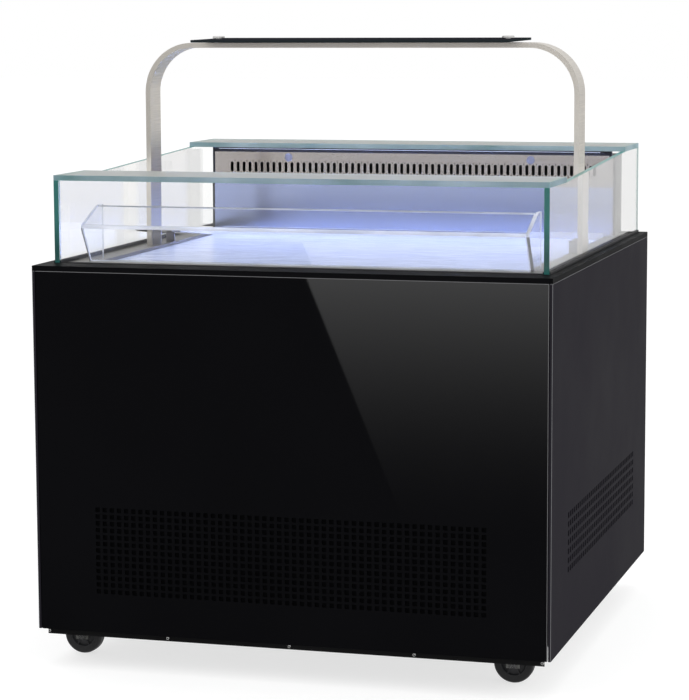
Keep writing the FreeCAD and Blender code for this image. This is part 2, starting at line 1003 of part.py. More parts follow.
shelf_bottom = arch_top + s.shelf_lift
shelf_top = shelf_bottom + s.shelf_thickness
shelf_front = s.arch_centre - s.shelf_depth / 2
shelf_x = arch_x - s.arch_radius - s.shelf_end_gap
standoff_x = shelf_x - s.standoff_inset
shelf_holes = [
    rod(
        f"shelf_hole_{side}",
        (x, s.arch_centre, shelf_bottom - s.tool_past),
        s.standoff_pin_radius + s.standoff_clearance,
        s.shelf_thickness + s.tool_past * 2,
    )
    for side, x in (("left", -standoff_x), ("right", standoff_x))
]
keep(
    cut(
        "canopy_shelf",
        box(
            "shelf_plate",
            (-shelf_x, shelf_front, shelf_bottom),
            (shelf_x, shelf_front + s.shelf_depth, shelf_top),
        ),
        *shelf_holes,
    ),
    "canopy_shelf",
)
standoffs = []
pin_length = s.shelf_lift + s.shelf_thickness + s.standoff_cap / 2
for side, x in (("left", -standoff_x), ("right", standoff_x)):
    washer = rod(f"standoff_washer_{side}", (x, s.arch_centre, arch_top), s.standoff_radius, s.shelf_lift)
    pin = rod(f"standoff_pin_{side}", (x, s.arch_centre, arch_top), s.standoff_pin_radius, pin_length)
    cap = rod(f"standoff_cap_{side}", (x, s.arch_centre, shelf_top), s.standoff_radius, s.standoff_cap)
    standoffs.append(fuse(f"standoff_{side}", washer, pin, cap))
keep(group("canopy_standoffs", *standoffs), "canopy_standoffs")

bracket_front = s.arch_centre - s.arch_depth / 2 + s.bracket_setback
bracket_rear = bracket_front + s.bracket_length
bracket_top = inner_rim_top + s.bracket_height
brackets = []
for side, x0 in (("left", -arch_inner_x), ("right", arch_inner_x - s.bracket_width)):
    x1 = x0 + s.bracket_width
    brackets.append(
        cut(
            f"bracket_{side}",
            box(f"bracket_block_{side}", (x0, bracket_front, inner_rim_top), (x1, bracket_rear, bracket_top)),
            box(
                f"bracket_room_{side}",
                (x0 - s.tool_past, bracket_front + s.bracket_sheet, inner_rim_top - s.tool_past),
                (x1 + s.tool_past, bracket_rear - s.bracket_sheet, bracket_top - s.bracket_sheet),
            ),
        )
    )
keep(group("post_brackets", *brackets), "post_brackets")

# ---------------------------------------------------------------- clear front guide
guide_x = inner_side - s.guide_side_gap
foot_y = -inner_front + s.guide_setback
knee_y = foot_y - s.guide_knee_forward
knee_z = inner_rim_top + s.guide_knee_height
crest_y = foot_y + s.guide_top_back
crest_z = inner_rim_top + s.guide_top_height
knee_inner_z = knee_z - s.guide_knee_sink
guide_profile = [
    (foot_y, inner_rim_top),
    (knee_y, knee_z),
    (crest_y, crest_z),
    (crest_y + s.guide_sheet, crest_z),
    (knee_y + s.guide_knee_cut, knee_inner_z),
    (foot_y + s.guide_foot_cut, inner_rim_top),
]
keep(slab("guide_front", "YZ_Plane", guide_profile, guide_x * 2), "guide_front")
end_rear = foot_y + s.guide_rear_back
end_profile = [
    (foot_y + s.guide_foot_cut + s.glass_joint, inner_rim_top),
    (end_rear, inner_rim_top),
    (end_rear, crest_z),
    (crest_y + s.guide_sheet + s.glass_joint, crest_z),
    (knee_y + s.guide_knee_cut + s.glass_joint, knee_inner_z),
]
guide_end_x = guide_x - s.guide_sheet / 2
keep(
    group(
        "guide_ends",
        *[
            slab(f"guide_end_{side}", "YZ_Plane", end_profile, s.guide_sheet, x=centre)
            for side, centre in (("left", -guide_end_x), ("right", guide_end_x))
        ],
    ),
    "guide_ends",
)

# ---------------------------------------------------------------- compressor
compressor = new_body("compressor")
shell_inner = s.compressor_radius - s.compressor_round
shell_shoulder = s.compressor_height - s.compressor_round
revolve(
    compressor,
    outline(
        compressor,
        "XZ_Plane",
        [
            (0, 0),
            (shell_inner, 0),
            (s.compressor_radius, s.compressor_round),
            (s.compressor_radius, shell_shoulder),
            (shell_inner, s.compressor_height),
            (0, s.compressor_height),
        ],
    ),
)
place(compressor, compressor_x, compressor_y, pan_top + s.compressor_lift)
keep(compressor, "compressor")
feet = [
    rod(
        f"rubber_foot_{number}",
        (
            compressor_x + s.compressor_foot_reach * across,
            compressor_y + s.compressor_foot_reach * along,
            pan_top,
        ),
        s.compressor_foot_radius,
        s.compressor_lift,
    )
    for number, (across, along) in enumerate(((-1, -1), (-1, 1), (1, -1), (1, 1)))
]
keep(group("compressor_feet", *feet), "compressor_feet")

# ---------------------------------------------------------------- fan units: condenser and evaporator
fan_bore = s.fan_shaft_radius + s.fan_shaft_clearance
blade_low = s.fan_hub_radius - s.fan_blade_root
blade_rear = s.fan_blade_width - s.fan_blade_margin


def fan_blade(name, radius, x, y, z):
    """A hub with flat blades set across the air stream, turning about Y."""
    body = new_body(name)
    hub_outline = [
        (0, fan_bore),
        (s.fan_blade_width, fan_bore),
        (s.fan_blade_width, s.fan_hub_radius),
        (0, s.fan_hub_radius),
    ]
    revolve(body, outline(body, "YZ_Plane", hub_outline, "hub_outline"), "H_Axis", "hub")
    blade_outline = [
        (s.fan_blade_margin, blade_low),
        (blade_rear, blade_low),
        (blade_rear, radius),
        (s.fan_blade_margin, radius),
    ]
    blade_sketch = outline(body, "YZ_Plane", blade_outline, "blade_outline")
    blade = pad(body, blade_sketch, s.fan_blade_thickness, midplane=True, name="blade")
    ring_of_blades = body.newObject("PartDesign::PolarPattern", "blades")
    ring_of_blades.Originals = [blade]
    ring_of_blades.Axis = (blade_sketch, ["H_Axis"])
    ring_of_blades.Angle = 360
    bind(ring_of_blades, "Occurrences", s.fan_blade_count)
    body.Tip = ring_of_blades
    return place(body, x, y, z)


def fan_frame(name, radius, x, y_front, z, shaft_y):
    """A square plate with a round hole, a cross bar behind it, the motor can and its shaft."""
    hole = radius + s.fan_hole_clearance
    reach = hole + s.fan_plate_border
    plate = cut(
        f"{name}_plate",
        box(
            f"{name}_sheet",
            (x - reach, y_front, z - reach),
            (x + reach, y_front + s.fan_plate_sheet, z + reach),
        ),
        rod(
            f"{name}_hole",
            (x, y_front + s.fan_plate_sheet + s.tool_past, z),
            hole,
            s.fan_plate_sheet + s.tool_past * 2,
            "y",
        ),
    )
    bar_front = shaft_y + s.fan_blade_width + s.fan_gap
    bar_rear = bar_front + s.fan_bar_sheet
    bar_left = x - s.fan_bar_half_width
    bar_right = x + s.fan_bar_half_width
    bar = box(f"{name}_bar", (bar_left, bar_front, z - reach), (bar_right, bar_rear, z + reach))
    arms = [
        box(f"{name}_arm_{end}", (bar_left, y_front, z0), (bar_right, bar_rear, z0 + s.fan_bar_sheet))
        for end, z0 in (("low", z - reach), ("high", z + reach - s.fan_bar_sheet))
    ]
    can_rear = bar_front + s.fan_can_length
    can = rod(f"{name}_can", (x, can_rear, z), s.fan_hub_radius, s.fan_can_length - s.fan_can_lap, "y")
    shaft_rear = bar_front + s.fan_bar_sheet
    shaft_length = s.fan_bar_sheet + s.fan_gap + s.fan_blade_width
    shaft = rod(f"{name}_shaft", (x, shaft_rear, z), s.fan_shaft_radius, shaft_length, "y")
    return fuse(name, plate, bar, *arms, can, shaft)


condenser_reach = s.condenser_fan_radius + s.fan_hole_clearance + s.fan_plate_border
evaporator_reach = s.evaporator_fan_radius + s.fan_hole_clearance + s.fan_plate_border
condenser_x = -s.condenser_shift
condenser_front = -half_depth + s.condenser_setback
condenser_rear = condenser_front + s.condenser_thickness
condenser_right = condenser_x + s.condenser_half_width
keep(
    box(
        "condenser_coil",
        (condenser_x - s.condenser_half_width, condenser_front, pan_top),
        (condenser_right, condenser_rear, pan_top + s.condenser_height),
    ),
    "condenser_coil",
)
condenser_fan_z = pan_top + condenser_reach
condenser_plate_y = condenser_rear + s.machine_clearance
condenser_blade_y = condenser_plate_y + s.fan_gap
keep(
    fan_frame(
        "condenser_fan_frame",
        s.condenser_fan_radius,
        condenser_x,
        condenser_plate_y,
        condenser_fan_z,
        condenser_blade_y,
    ),
    "condenser_fan_frame",
)
keep(
    fan_blade(
        "condenser_fan_blade",
        s.condenser_fan_radius,
        condenser_x,
        condenser_blade_y,
        condenser_fan_z,
    ),
    "condenser_fan_blade",
)
evaporator_rear = s.evaporator_depth / 2
evaporator_left = -well_x + s.evaporator_side_gap
evaporator_right = compressor_x - s.evaporator_line_gap
keep(
    box(
        "evaporator_coil",
        (evaporator_left, -evaporator_rear, liner_bottom),
        (evaporator_right, evaporator_rear, liner_bottom + s.evaporator_height),
    ),
    "evaporator_coil",
)
evaporator_plate_y = evaporator_rear + s.machine_clearance
evaporator_blade_y = evaporator_plate_y + s.fan_gap
evaporator_fan_z = liner_bottom + evaporator_reach
evaporator_fan_x = (evaporator_left + evaporator_right) / 2
keep(
    fan_frame(
        "evaporator_fan_frame",
        s.evaporator_fan_radius,
        evaporator_fan_x,
        evaporator_plate_y,
        evaporator_fan_z,
        evaporator_blade_y,
    ),
    "evaporator_fan_frame",
)
keep(
    fan_blade(
        "evaporator_fan_blade",
        s.evaporator_fan_radius,
        evaporator_fan_x,
        evaporator_blade_y,
        evaporator_fan_z,
    ),
    "evaporator_fan_blade",
)

# ---------------------------------------------------------------- refrigerant lines


def pipe(name, points, radius, bend):
    """Straight runs joined by equal tangent bends, swept with a round section."""
    corners = [V(*[as_size(value).value for value in point]) for point in points]
    edges = []
    start = corners[0]
    for before, corner, after in zip(corners, corners[1:], corners[2:]):
        into = (corner - before).normalize()
        out = (after - corner).normalize()
        turn = into.getAngle(out)
        back = bend.value * math.tan(turn / 2)
        first = corner - into * back
        last = corner + out * back
        centre = first + (out - into * out.dot(into)).normalize() * bend.value
        middle = centre + ((first + last) / 2 - centre).normalize() * bend.value
        edges.append(Part.LineSegment(start, first).toShape())
        edges.append(Part.Arc(first, middle, last).toShape())
        start = last
    edges.append(Part.LineSegment(start, corners[-1]).toShape())
    path = Part.Wire(edges)
    direction = (corners[1] - corners[0]).normalize()
    ring = Part.Wire(Part.makeCircle(radius.value, corners[0], direction))
    item = doc.addObject("Part::Feature", name)
    item.Shape = path.makePipeShell([ring], True, False)
    return item


line_start = compressor_top + s.line_gap
discharge_x = compressor_x - s.discharge_offset
discharge_y = condenser_rear - s.discharge_inset
discharge_high = (compressor_top + foam_low) / 2
discharge_low = pan_top + s.discharge_rise
discharge_turn = condenser_right + s.discharge_offset
discharge = pipe(
    "discharge_line",
    [
        (discharge_x, compressor_y, line_start),
        (discharge_x, compressor_y, discharge_high),
        (discharge_x, discharge_y, discharge_high),
        (discharge_turn, discharge_y, discharge_high),
        (discharge_turn, discharge_y, discharge_low),
        (condenser_right + s.line_gap, discharge_y, discharge_low),
    ],
    s.pipe_radius,
    s.pipe_bend,
)
suction_high = liner_bottom + s.suction_rise
suction = pipe(
    "suction_line",
    [
        (compressor_x, line_y, line_start),
        (compressor_x, line_y, suction_high),
        (compressor_x, 0, suction_high),
        (evaporator_right + s.line_gap, 0, suction_high),
    ],
    s.pipe_radius,
    s.pipe_bend,
)
keep(group("refrigerant_lines", discharge, suction), "refrigerant_lines")

# ---------------------------------------------------------------- controller, buttons, power rocker, inlet
socket_floor = half_depth - s.button_pocket - s.button_travel
button_floor = half_depth - s.button_pocket + s.button_float
button_face = half_depth + s.button_travel - s.button_stand - s.button_float
control_x0 = control_x - s.control_half_width
control_x1 = control_x + s.control_half_width
button_low = control_low + s.control_bezel
button_high = button_low + s.button_height
button_centres = {
    "set": control_x + s.button_first,
    "defrost": control_x + s.button_first + s.button_pitch,
}
button_sockets = []
for label, x in button_centres.items():
    socket_x = s.button_width / 2 + s.button_clearance
    button_sockets.append(
        box(
            f"button_socket_{label}",
            (x - socket_x, socket_floor, button_low - s.button_clearance),
            (x + socket_x, cut_rear, button_high + s.button_clearance),
        )
    )
    keep(
        box(
            f"controller_button_{label}",
            (x - s.button_width / 2, button_floor, button_low),
            (x + s.button_width / 2, button_face, button_high),
        ),
        f"controller_button_{label}",
    )
controller_case = cut(
    "controller",
    box(
        "controller_block",
        (control_x0, half_depth - s.control_depth, control_low),
        (control_x1, half_depth, control_high),
    ),
    box(
        "controller_display",
        (control_x0 + s.control_bezel, half_depth - s.display_recess, button_high + s.display_gap),
        (control_x1 - s.control_bezel, cut_rear, control_high - s.control_bezel),
    ),
    *button_sockets,
)

rocker_axis_y = half_depth - s.rocker_pin_depth
rocker_half = s.rocker_height / 2
room_x = s.rocker_width / 2 + s.rocker_tilt_clearance / 2
room_z = rocker_half + s.rocker_tilt_clearance
rocker_case = cut(
    "rocker_case",
    box(
        "rocker_block",
        (control_x - rocker_hole_x, half_depth - s.rocker_case_depth, rocker_centre - rocker_hole_z),
        (control_x + rocker_hole_x, half_depth, rocker_centre + rocker_hole_z),
    ),
    box(
        "rocker_room",
        (control_x - room_x, half_depth - s.rocker_room_depth, rocker_centre - room_z),
        (control_x + room_x, cut_rear, rocker_centre + room_z),
    ),
)
rocker_pin = rod(
    "rocker_pin",
    (control_x - rocker_hole_x + s.rocker_pin_end, rocker_axis_y, rocker_centre),
    s.rocker_pin_radius,
    (rocker_hole_x - s.rocker_pin_end) * 2,
    "x",
)
keep(
    group("control_housings", controller_case, fuse("rocker_housing", rocker_case, rocker_pin)),
    "control_housings",
)
rocker = new_body("rocker_switch")
rocker_profile = [
    (-s.rocker_tail, -s.rocker_tail_half),
    (-s.rocker_edge, -rocker_half),
    (s.rocker_low_face, -rocker_half),
    (s.rocker_mid_face, 0),
    (s.rocker_high_face, rocker_half),
    (-s.rocker_edge, rocker_half),
    (-s.rocker_tail, s.rocker_tail_half),
]
pad(rocker, outline(rocker, "YZ_Plane", rocker_profile), s.rocker_width, midplane=True)
rocker_bore = rocker.newObject("Sketcher::SketchObject", "rocker_bore")
rocker_bore.AttachmentSupport = (origin_plane(rocker, "YZ_Plane"), [""])
rocker_bore.MapMode = "FlatFace"
bore_radius = s.rocker_pin_radius + s.axle_clearance
rocker_bore.addGeometry(Part.Circle(V(0, 0, 0), V(0, 0, 1), bore_radius.value), False)
rocker_bore.addConstraint(Sketcher.Constraint("Coincident", 0, 3, -1, 1))
rocker_bore.addConstraint(Sketcher.Constraint("Radius", 0, bore_radius.value))
rocker_bore.setExpression("Constraints[1]", bore_radius.text)
pocket_through(rocker, rocker_bore, "rocker_pin_bore")
place(rocker, control_x, rocker_axis_y, rocker_centre)
keep(rocker, "rocker_switch")

keep(
    cut(
        "power_inlet",
        rod("gland_body", (control_x, half_depth, inlet_height), s.inlet_radius, s.inlet_depth, "y"),
        rod(
            "gland_bore",
            (control_x, cut_rear, inlet_height),
            s.inlet_bore,
            s.inlet_depth + s.tool_past * 2,
            "y",
        ),
    ),
    "power_inlet",
)

# ---------------------------------------------------------------- casters
leg_inner = s.wheel_width / 2 + s.fork_gap
leg_outer = leg_inner + s.fork_sheet
leg_half = s.fork_leg_width / 2
axle_end = leg_outer + s.axle_head
king_length = s.caster_head_height + s.fork_sheet + s.swivel_clearance + s.caster_plate_sheet / 2
brake_reach = s.caster_trail + leg_half + s.brake_ear / 2
caster_x = half_width - s.side_thickness - s.caster_clearance - brake_reach - s.brake_length
caster_y = half_depth - s.caster_end_inset
half_plate = s.caster_plate / 2
brake_z = crown_bottom - s.brake_ear / 2
tread_half = s.brake_sheet / 2
bore = s.axle_radius + s.axle_clearance
wheel_half = s.wheel_width / 2
web_half = wheel_half - s.wheel_edge
web_inner = s.wheel_hub_radius + s.wheel_web_inner
web_outer = s.wheel_radius - s.wheel_web_outer
web_lip = web_outer + s.wheel_web_lip
shoulder = s.wheel_radius - s.wheel_edge
right_half_profile = [
    (wheel_half, bore),
    (wheel_half, s.wheel_hub_radius),
    (web_half, web_inner),
    (web_half, web_outer),
    (wheel_half, web_lip),
    (wheel_half, shoulder),
    (wheel_half - s.wheel_edge / 3, s.wheel_radius - s.wheel_edge / 3),
    (web_half, s.wheel_radius),
]
wheel_profile = right_half_profile + [(-across, out) for across, out in reversed(right_half_profile)]
corners = {
    "front_left": (-1, -1),
    "front_right": (1, -1),
    "rear_left": (-1, 1),
    "rear_right": (1, 1),
}
plates = []
for label, (across, along) in corners.items():
    x = caster_x * across
    y = caster_y * along
    wheel_x = x - s.caster_trail
    leg_front = wheel_x - leg_half
    cheeks = (("near", y - leg_outer), ("far", y + leg_inner))
    plate = box(
        f"plate_{label}",
        (x - half_plate, y - half_plate, plate_bottom),
        (x + half_plate, y + half_plate, pan_bottom),
    )
    kingpin = rod(f"kingpin_{label}", (x, y, crown_bottom), s.caster_pin_radius, king_length)
    plates.append(fuse(f"caster_plate_{label}", plate, kingpin))

    head = rod(f"head_{label}", (x, y, head_bottom), s.caster_head_radius, s.caster_head_height)
    crown = box(
        f"crown_{label}",
        (leg_front, y - leg_outer, crown_bottom),
        (x + s.crown_nose, y + leg_outer, head_bottom),
    )
    legs = [
        box(
            f"leg_{side}_{label}",
            (leg_front, y0, s.wheel_radius - s.leg_drop),
            (wheel_x + leg_half, y0 + s.fork_sheet, head_bottom),
        )
        for side, y0 in cheeks
    ]
    braked = along < 0
    brake_x = leg_front - s.brake_ear / 2
    brake_lugs = []
    if braked:
        brake_lugs = [
            box(
                f"brake_ear_{side}_{label}",
                (brake_x - s.brake_ear / 2, y0, brake_z - s.brake_ear / 2),
                (leg_front + s.fork_sheet, y0 + s.fork_sheet, head_bottom),
            )
            for side, y0 in cheeks
        ]
        brake_lugs.append(
            rod(
                f"brake_pin_{label}",
                (brake_x, y + leg_outer, brake_z),
                s.brake_pin_radius,
                leg_outer * 2,
                "y",
            )
        )
    king_bore = rod(
        f"king_bore_{label}",
        (x, y, crown_bottom - s.tool_past),
        s.caster_pin_radius + s.axle_clearance,
        s.caster_head_height + s.fork_sheet + s.tool_past * 2,
    )
    axle_bore = rod(
        f"axle_hole_{label}",
        (wheel_x, y + leg_outer + s.tool_past, s.wheel_radius),
        s.axle_radius,
        (leg_outer + s.tool_past) * 2,
        "y",
    )
    fork = fuse(f"caster_fork_{label}", head, crown, *legs, *brake_lugs)
    keep(cut(f"fork_{label}", fork, king_bore, axle_bore), f"caster_fork_{label}")

    shank = rod(
        f"shank_{label}",
        (wheel_x, y + axle_end, s.wheel_radius),
        s.axle_radius,
        axle_end * 2,
        "y",
    )
    heads = [
        rod(f"axle_head_{side}_{label}", (wheel_x, y0, s.wheel_radius), s.axle_head_radius, s.axle_head, "y")
        for side, y0 in (("near", y - leg_outer), ("far", y + axle_end))
    ]
    keep(fuse(f"caster_axle_{label}", shank, *heads), f"caster_axle_{label}")

    wheel = new_body(f"wheel_{label}")
    revolve(wheel, outline(wheel, "YZ_Plane", wheel_profile), "H_Axis")
    place(wheel, wheel_x, y, s.wheel_radius)
    keep(wheel, f"caster_wheel_{label}")

    if braked:
        pedal_rear = y + s.brake_width / 2
        barrel = rod(
            f"brake_barrel_{label}",
            (brake_x, pedal_rear, brake_z),
            s.brake_pin_radius + s.brake_sheet / 2,
            s.brake_width,
            "y",
        )
        tread = box(
            f"brake_tread_{label}",
            (brake_x - s.brake_length, y - s.brake_width / 2, brake_z - tread_half),
            (brake_x - s.brake_pin_radius / 2, pedal_rear, brake_z + tread_half),
        )
        pin_bore = rod(
            f"brake_bore_{label}",
            (brake_x, pedal_rear + s.tool_past, brake_z),
            s.brake_pin_radius + s.axle_clearance,
            s.brake_width + s.tool_past * 2,
            "y",
        )
        pedal = fuse(f"caster_brake_{label}", barrel, tread)
        keep(cut(f"brake_{label}", pedal, pin_bore), f"caster_brake_{label}")
keep(group("caster_plates", *plates), "caster_plates")

# ---------------------------------------------------------------- check and write
doc.recompute()
for item in doc.Objects:
    if "Invalid" in item.State or "Error" in item.State:
        raise RuntimeError(f"{item.Name} failed: {item.State}")
labels = [item.Label for item in parts]
if len(set(labels)) != len(labels):
    raise RuntimeError("two sub-parts share a label")
os.makedirs("parts", exist_ok=True)
for item in parts:
    shape = item.Shape
    if shape.isNull() or not shape.isValid() or not shape.Solids:
        raise RuntimeError(f"{item.Label} has no valid solid")
    shape.exportStep(f"parts/{item.Label}.step")
print(len(parts), "sub-parts written")
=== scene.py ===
"""Open-top refrigerated display cabinet: the finish and fine detail of every piece."""
import math

import bmesh
import bpy
from bpy.props import FloatProperty, FloatVectorProperty, IntProperty, PointerProperty
from mathutils import Matrix, Vector


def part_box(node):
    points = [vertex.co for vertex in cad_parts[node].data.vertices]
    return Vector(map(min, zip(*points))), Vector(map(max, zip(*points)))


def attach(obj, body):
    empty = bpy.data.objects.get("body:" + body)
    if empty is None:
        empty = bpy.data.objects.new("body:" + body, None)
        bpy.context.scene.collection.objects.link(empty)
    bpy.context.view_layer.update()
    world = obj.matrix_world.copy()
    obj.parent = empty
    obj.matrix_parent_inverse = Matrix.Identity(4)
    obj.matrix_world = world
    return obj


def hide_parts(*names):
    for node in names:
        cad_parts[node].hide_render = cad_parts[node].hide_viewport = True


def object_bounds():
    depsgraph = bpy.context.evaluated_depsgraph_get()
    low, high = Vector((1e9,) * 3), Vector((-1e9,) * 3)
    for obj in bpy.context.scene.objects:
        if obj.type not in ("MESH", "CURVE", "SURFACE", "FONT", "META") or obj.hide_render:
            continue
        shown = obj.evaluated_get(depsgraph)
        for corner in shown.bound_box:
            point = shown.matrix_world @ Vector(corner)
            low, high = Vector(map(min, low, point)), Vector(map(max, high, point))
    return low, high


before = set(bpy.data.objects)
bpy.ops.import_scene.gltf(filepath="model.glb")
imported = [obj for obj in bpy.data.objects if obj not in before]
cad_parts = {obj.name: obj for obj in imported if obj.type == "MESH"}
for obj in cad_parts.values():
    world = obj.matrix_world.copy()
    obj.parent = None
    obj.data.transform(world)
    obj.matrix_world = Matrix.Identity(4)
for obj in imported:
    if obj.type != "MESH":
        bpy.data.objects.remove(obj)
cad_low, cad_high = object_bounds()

bl_info = {
    "name": "Display Cabinet Pieces",
    "version": (1, 0, 0),
    "blender": (4, 5, 0),
    "location": "View3D > Sidebar > Cabinet",
    "description": "Builds the pieces and finishes of an open-top refrigerated display cabinet",
    "category": "Object",
}

BODY = "cabinet"


# Sizes and colours


def length(name, description, default):
    """A size in metres that shows its unit."""
    return FloatProperty(name=name, description=description, default=default, min=0.0,
                         subtype="DISTANCE", unit="LENGTH", precision=4)


def colour(name, description, default):
    """A colour swatch."""
    return FloatVectorProperty(name=name, description=description, default=default,
                               size=3, min=0.0, max=1.0, subtype="COLOR")


class CabinetPanelSettings(bpy.types.PropertyGroup):
    """Outer panels, rim and kick strip."""
    gloss_black: colour("Front Black", "Colour of the glossy front panel", (0.0025, 0.0025, 0.003))
    charcoal: colour("Side Charcoal", "Colour of the matt side and rear panels", (0.0125, 0.0115, 0.015))
    trim_black: colour("Trim Black", "Colour of the rim and the kick strip", (0.003, 0.003, 0.0035))
    # Edge grey and edge width give a painted highlight: a lighter band along the bare cut edges, standing
    # for the light they catch.
    edge_highlight_grey: colour("Edge Grey", "Colour of the bare cut edges of the panels", (0.13, 0.13, 0.135))
    edge_width: length("Edge Width", "Width of the bare edge that shows round a panel", 0.0009)
    screw_radius: length("Screw Radius", "Radius of the kick strip's screw heads", 0.0034)


class CabinetTubSettings(bpy.types.PropertyGroup):
    """Cold tub, deck, intake grille, duct and lamp."""
    steel: colour("Steel", "Colour of the stainless steel round the deck", (0.30, 0.29, 0.28))
    duct_steel: colour("Duct Steel", "Colour of the bright steel duct face", (0.43, 0.40, 0.385))
    # This colour is a painted reflection: the blue of the lamp-lit deck, painted into the foot of the duct
    # face.
    duct_painted_reflection: colour("Duct Glow", "Colour the lamp gives to the foot of the duct face", (0.36, 0.42, 0.66))
    # The deck is white; the blue in this colour is the lamp's light painted into it.
    deck_lamp_tinted: colour("Deck White", "Colour of the display deck", (0.52, 0.58, 0.80))
    slot_width: length("Slot Width", "Width of an air slot in the duct face", 0.0065)
    slot_height: length("Slot Height", "Height of an air slot in the duct face", 0.022)
    slot_pitch: length("Slot Pitch", "Distance between neighbouring air slots", 0.0137)
    slot_count: IntProperty(name="Slot Count", description="Number of air slots", default=59, min=3)
    slat_pitch: length("Slat Pitch", "Distance between the slanted slats of the intake", 0.012)
    lamp_glow: FloatProperty(name="Lamp Glow", description="Brightness of the lamp's lens",
                             default=1.2, min=0.0)


class CabinetGlassSettings(bpy.types.PropertyGroup):
    """Glass panes, shelf and clear guide."""
    pane: colour("Pane Tint", "Tint of light that goes through a pane", (0.968, 0.968, 0.966))
    pane_edge: colour("Edge Tint", "Colour of a pane's polished edge", (0.035, 0.22, 0.20))
    frost: colour("Frosted Strip", "Colour of the frosted strips on top", (0.55, 0.57, 0.55))
    acrylic: colour("Acrylic Tint", "Tint of the clear guide", (0.95, 0.96, 0.98))
    # A painted highlight: the pale colour and faint glow given to the guide's edges and fold stand for the
    # light they catch.
    acrylic_edge_highlight: colour("Acrylic Edge", "Colour of the guide's bright edges", (0.80, 0.83, 0.95))
    shelf: colour("Shelf Black", "Colour of the black glass shelf", (0.011, 0.011, 0.014))
    shelf_sheet: length("Shelf Sheet", "Thickness of the black glass shelf", 0.005)
    fold_radius: length("Fold Radius", "Outer radius of the guide's folds", 0.012)


class CabinetMetalSettings(bpy.types.PropertyGroup):
    """Canopy arch, brackets, machine parts."""
    champagne: colour("Arch Metal", "Colour of the satin arch", (0.80, 0.755, 0.69))
    zinc: colour("Zinc", "Colour of zinc-plated steel", (0.48, 0.48, 0.46))
    copper: colour("Copper", "Colour of the refrigerant pipes", (0.72, 0.32, 0.18))
    aluminium: colour("Aluminium", "Colour of the coil fins", (0.66, 0.67, 0.68))
    fin_pitch: length("Fin Pitch", "Distance between neighbouring coil fins", 0.0042)
    blade_count: IntProperty(name="Fan Blades", description="Blades on each fan", default=5, min=2)


class CabinetCasterSettings(bpy.types.PropertyGroup):
    """Casters."""
    tyre: colour("Tyre", "Colour of the tyres", (0.012, 0.012, 0.013))
    tyre_shoulder: length("Tyre Shoulder", "Rounding at the edge of a tyre", 0.005)
    hub_radius: length("Hub Radius", "Radius of a wheel's plastic hub", 0.026)


class CabinetStageSettings(bpy.types.PropertyGroup):
    """Floor, lights and camera."""
    floor: colour("Floor", "Colour of the floor", (0.35, 0.35, 0.35))
    focal_length: FloatProperty(name="Focal Length", description="Lens of the camera in millimetres",
                                default=132.44, min=10.0)


# Finishes


class Finish:
    """A material and the node steps that the finishes of this cabinet are made of."""

    def __init__(self, name, roughness, metallic=0.0, **constants):
        self.material = bpy.data.materials.new(name)
        self.material.use_nodes = True
        self.tree = self.material.node_tree
        self.shader = self.tree.nodes["Principled BSDF"]
        self.shader.inputs["Roughness"].default_value = roughness
        self.shader.inputs["Metallic"].default_value = metallic
        for socket, value in constants.items():
            self.shader.inputs[socket.replace("_", " ")].default_value = value
        self.place = self.node("ShaderNodeTexCoord").outputs["Object"]

    def node(self, kind, links=(), **settings):
        """One node, its settings, and what goes into its sockets: values or other sockets."""
        made = self.tree.nodes.new(kind)
        for key, value in settings.items():
            setattr(made, key, value)
        for socket, source in dict(links).items():
            if isinstance(source, bpy.types.NodeSocket):
                self.tree.links.new(source, made.inputs[socket])
            else:
                made.inputs[socket].default_value = source
        return made

    def noise(self, scale, stretch=(1, 1, 1), detail=4.0):
        """Noise from 0 to 1 over the surface, drawn out along an axis by a small stretch."""
        mapped = self.node("ShaderNodeMapping", {"Vector": self.place, "Scale": stretch})
        made = self.node("ShaderNodeTexNoise", {"Vector": mapped.outputs["Vector"],
                                                "Scale": scale, "Detail": detail})
        return made.outputs["Fac"]

    def between(self, fac, low, high, start=0.3, end=0.7):
        """A number that goes from low to high as fac goes from start to end."""
        return self.node("ShaderNodeMapRange", {"Value": fac, "From Min": start, "From Max": end,
                                                "To Min": low, "To Max": high}).outputs["Result"]

    def blend(self, fac, first, second):
        """One colour where fac is 0, another where it is 1."""
        made = self.node("ShaderNodeMix", data_type="RGBA")
        for socket, source in ((made.inputs[0], fac), (made.inputs[6], first), (made.inputs[7], second)):
            if isinstance(source, bpy.types.NodeSocket):
                self.tree.links.new(source, socket)
            elif hasattr(source, "__len__"):
                socket.default_value = (*source, 1.0)
            else:
                socket.default_value = source
        return made.outputs[2]

    def maths(self, operation, first, second=0.0):
        """A number worked out from two others."""
        return self.node("ShaderNodeMath", {0: first, 1: second}, operation=operation).outputs[0]

    def axes(self, source=None):
        """The three parts of a position or of a direction."""
        return self.node("ShaderNodeSeparateXYZ", {"Vector": source or self.place}).outputs

    def faces(self):
        """How far the surface faces along each axis."""
        return self.axes(self.node("ShaderNodeNewGeometry").outputs["True Normal"])

    def feed(self, **sources):
        """Sends worked-out values to the shader's colour, roughness and so on."""
        for socket, source in sources.items():
            self.tree.links.new(source, self.shader.inputs[socket.replace("_", " ")])

    def relief(self, height, strength, distance=0.0005):
        """A fine grain that can be felt."""
        bump = self.node("ShaderNodeBump", {"Height": height, "Strength": strength, "Distance": distance})
        self.feed(Normal=bump.outputs["Normal"])

    def show_through(self, tint):
        """Lets the lamps' light through, tinted, so that a clear piece casts no dark shadow."""
        path = self.node("ShaderNodeLightPath").outputs["Is Shadow Ray"]
        clear = self.node("ShaderNodeBsdfTransparent", {"Color": (*tint, 1.0)})
        mixed = self.node("ShaderNodeMixShader", {0: path, 1: self.shader.outputs["BSDF"],
                                                  2: clear.outputs["BSDF"]})
        self.tree.links.new(mixed.outputs["Shader"],
                            self.tree.nodes["Material Output"].inputs["Surface"])


def lighter(shade, amount):
    """The same colour, brighter."""
    return tuple(min(1.0, part * amount) for part in shade)


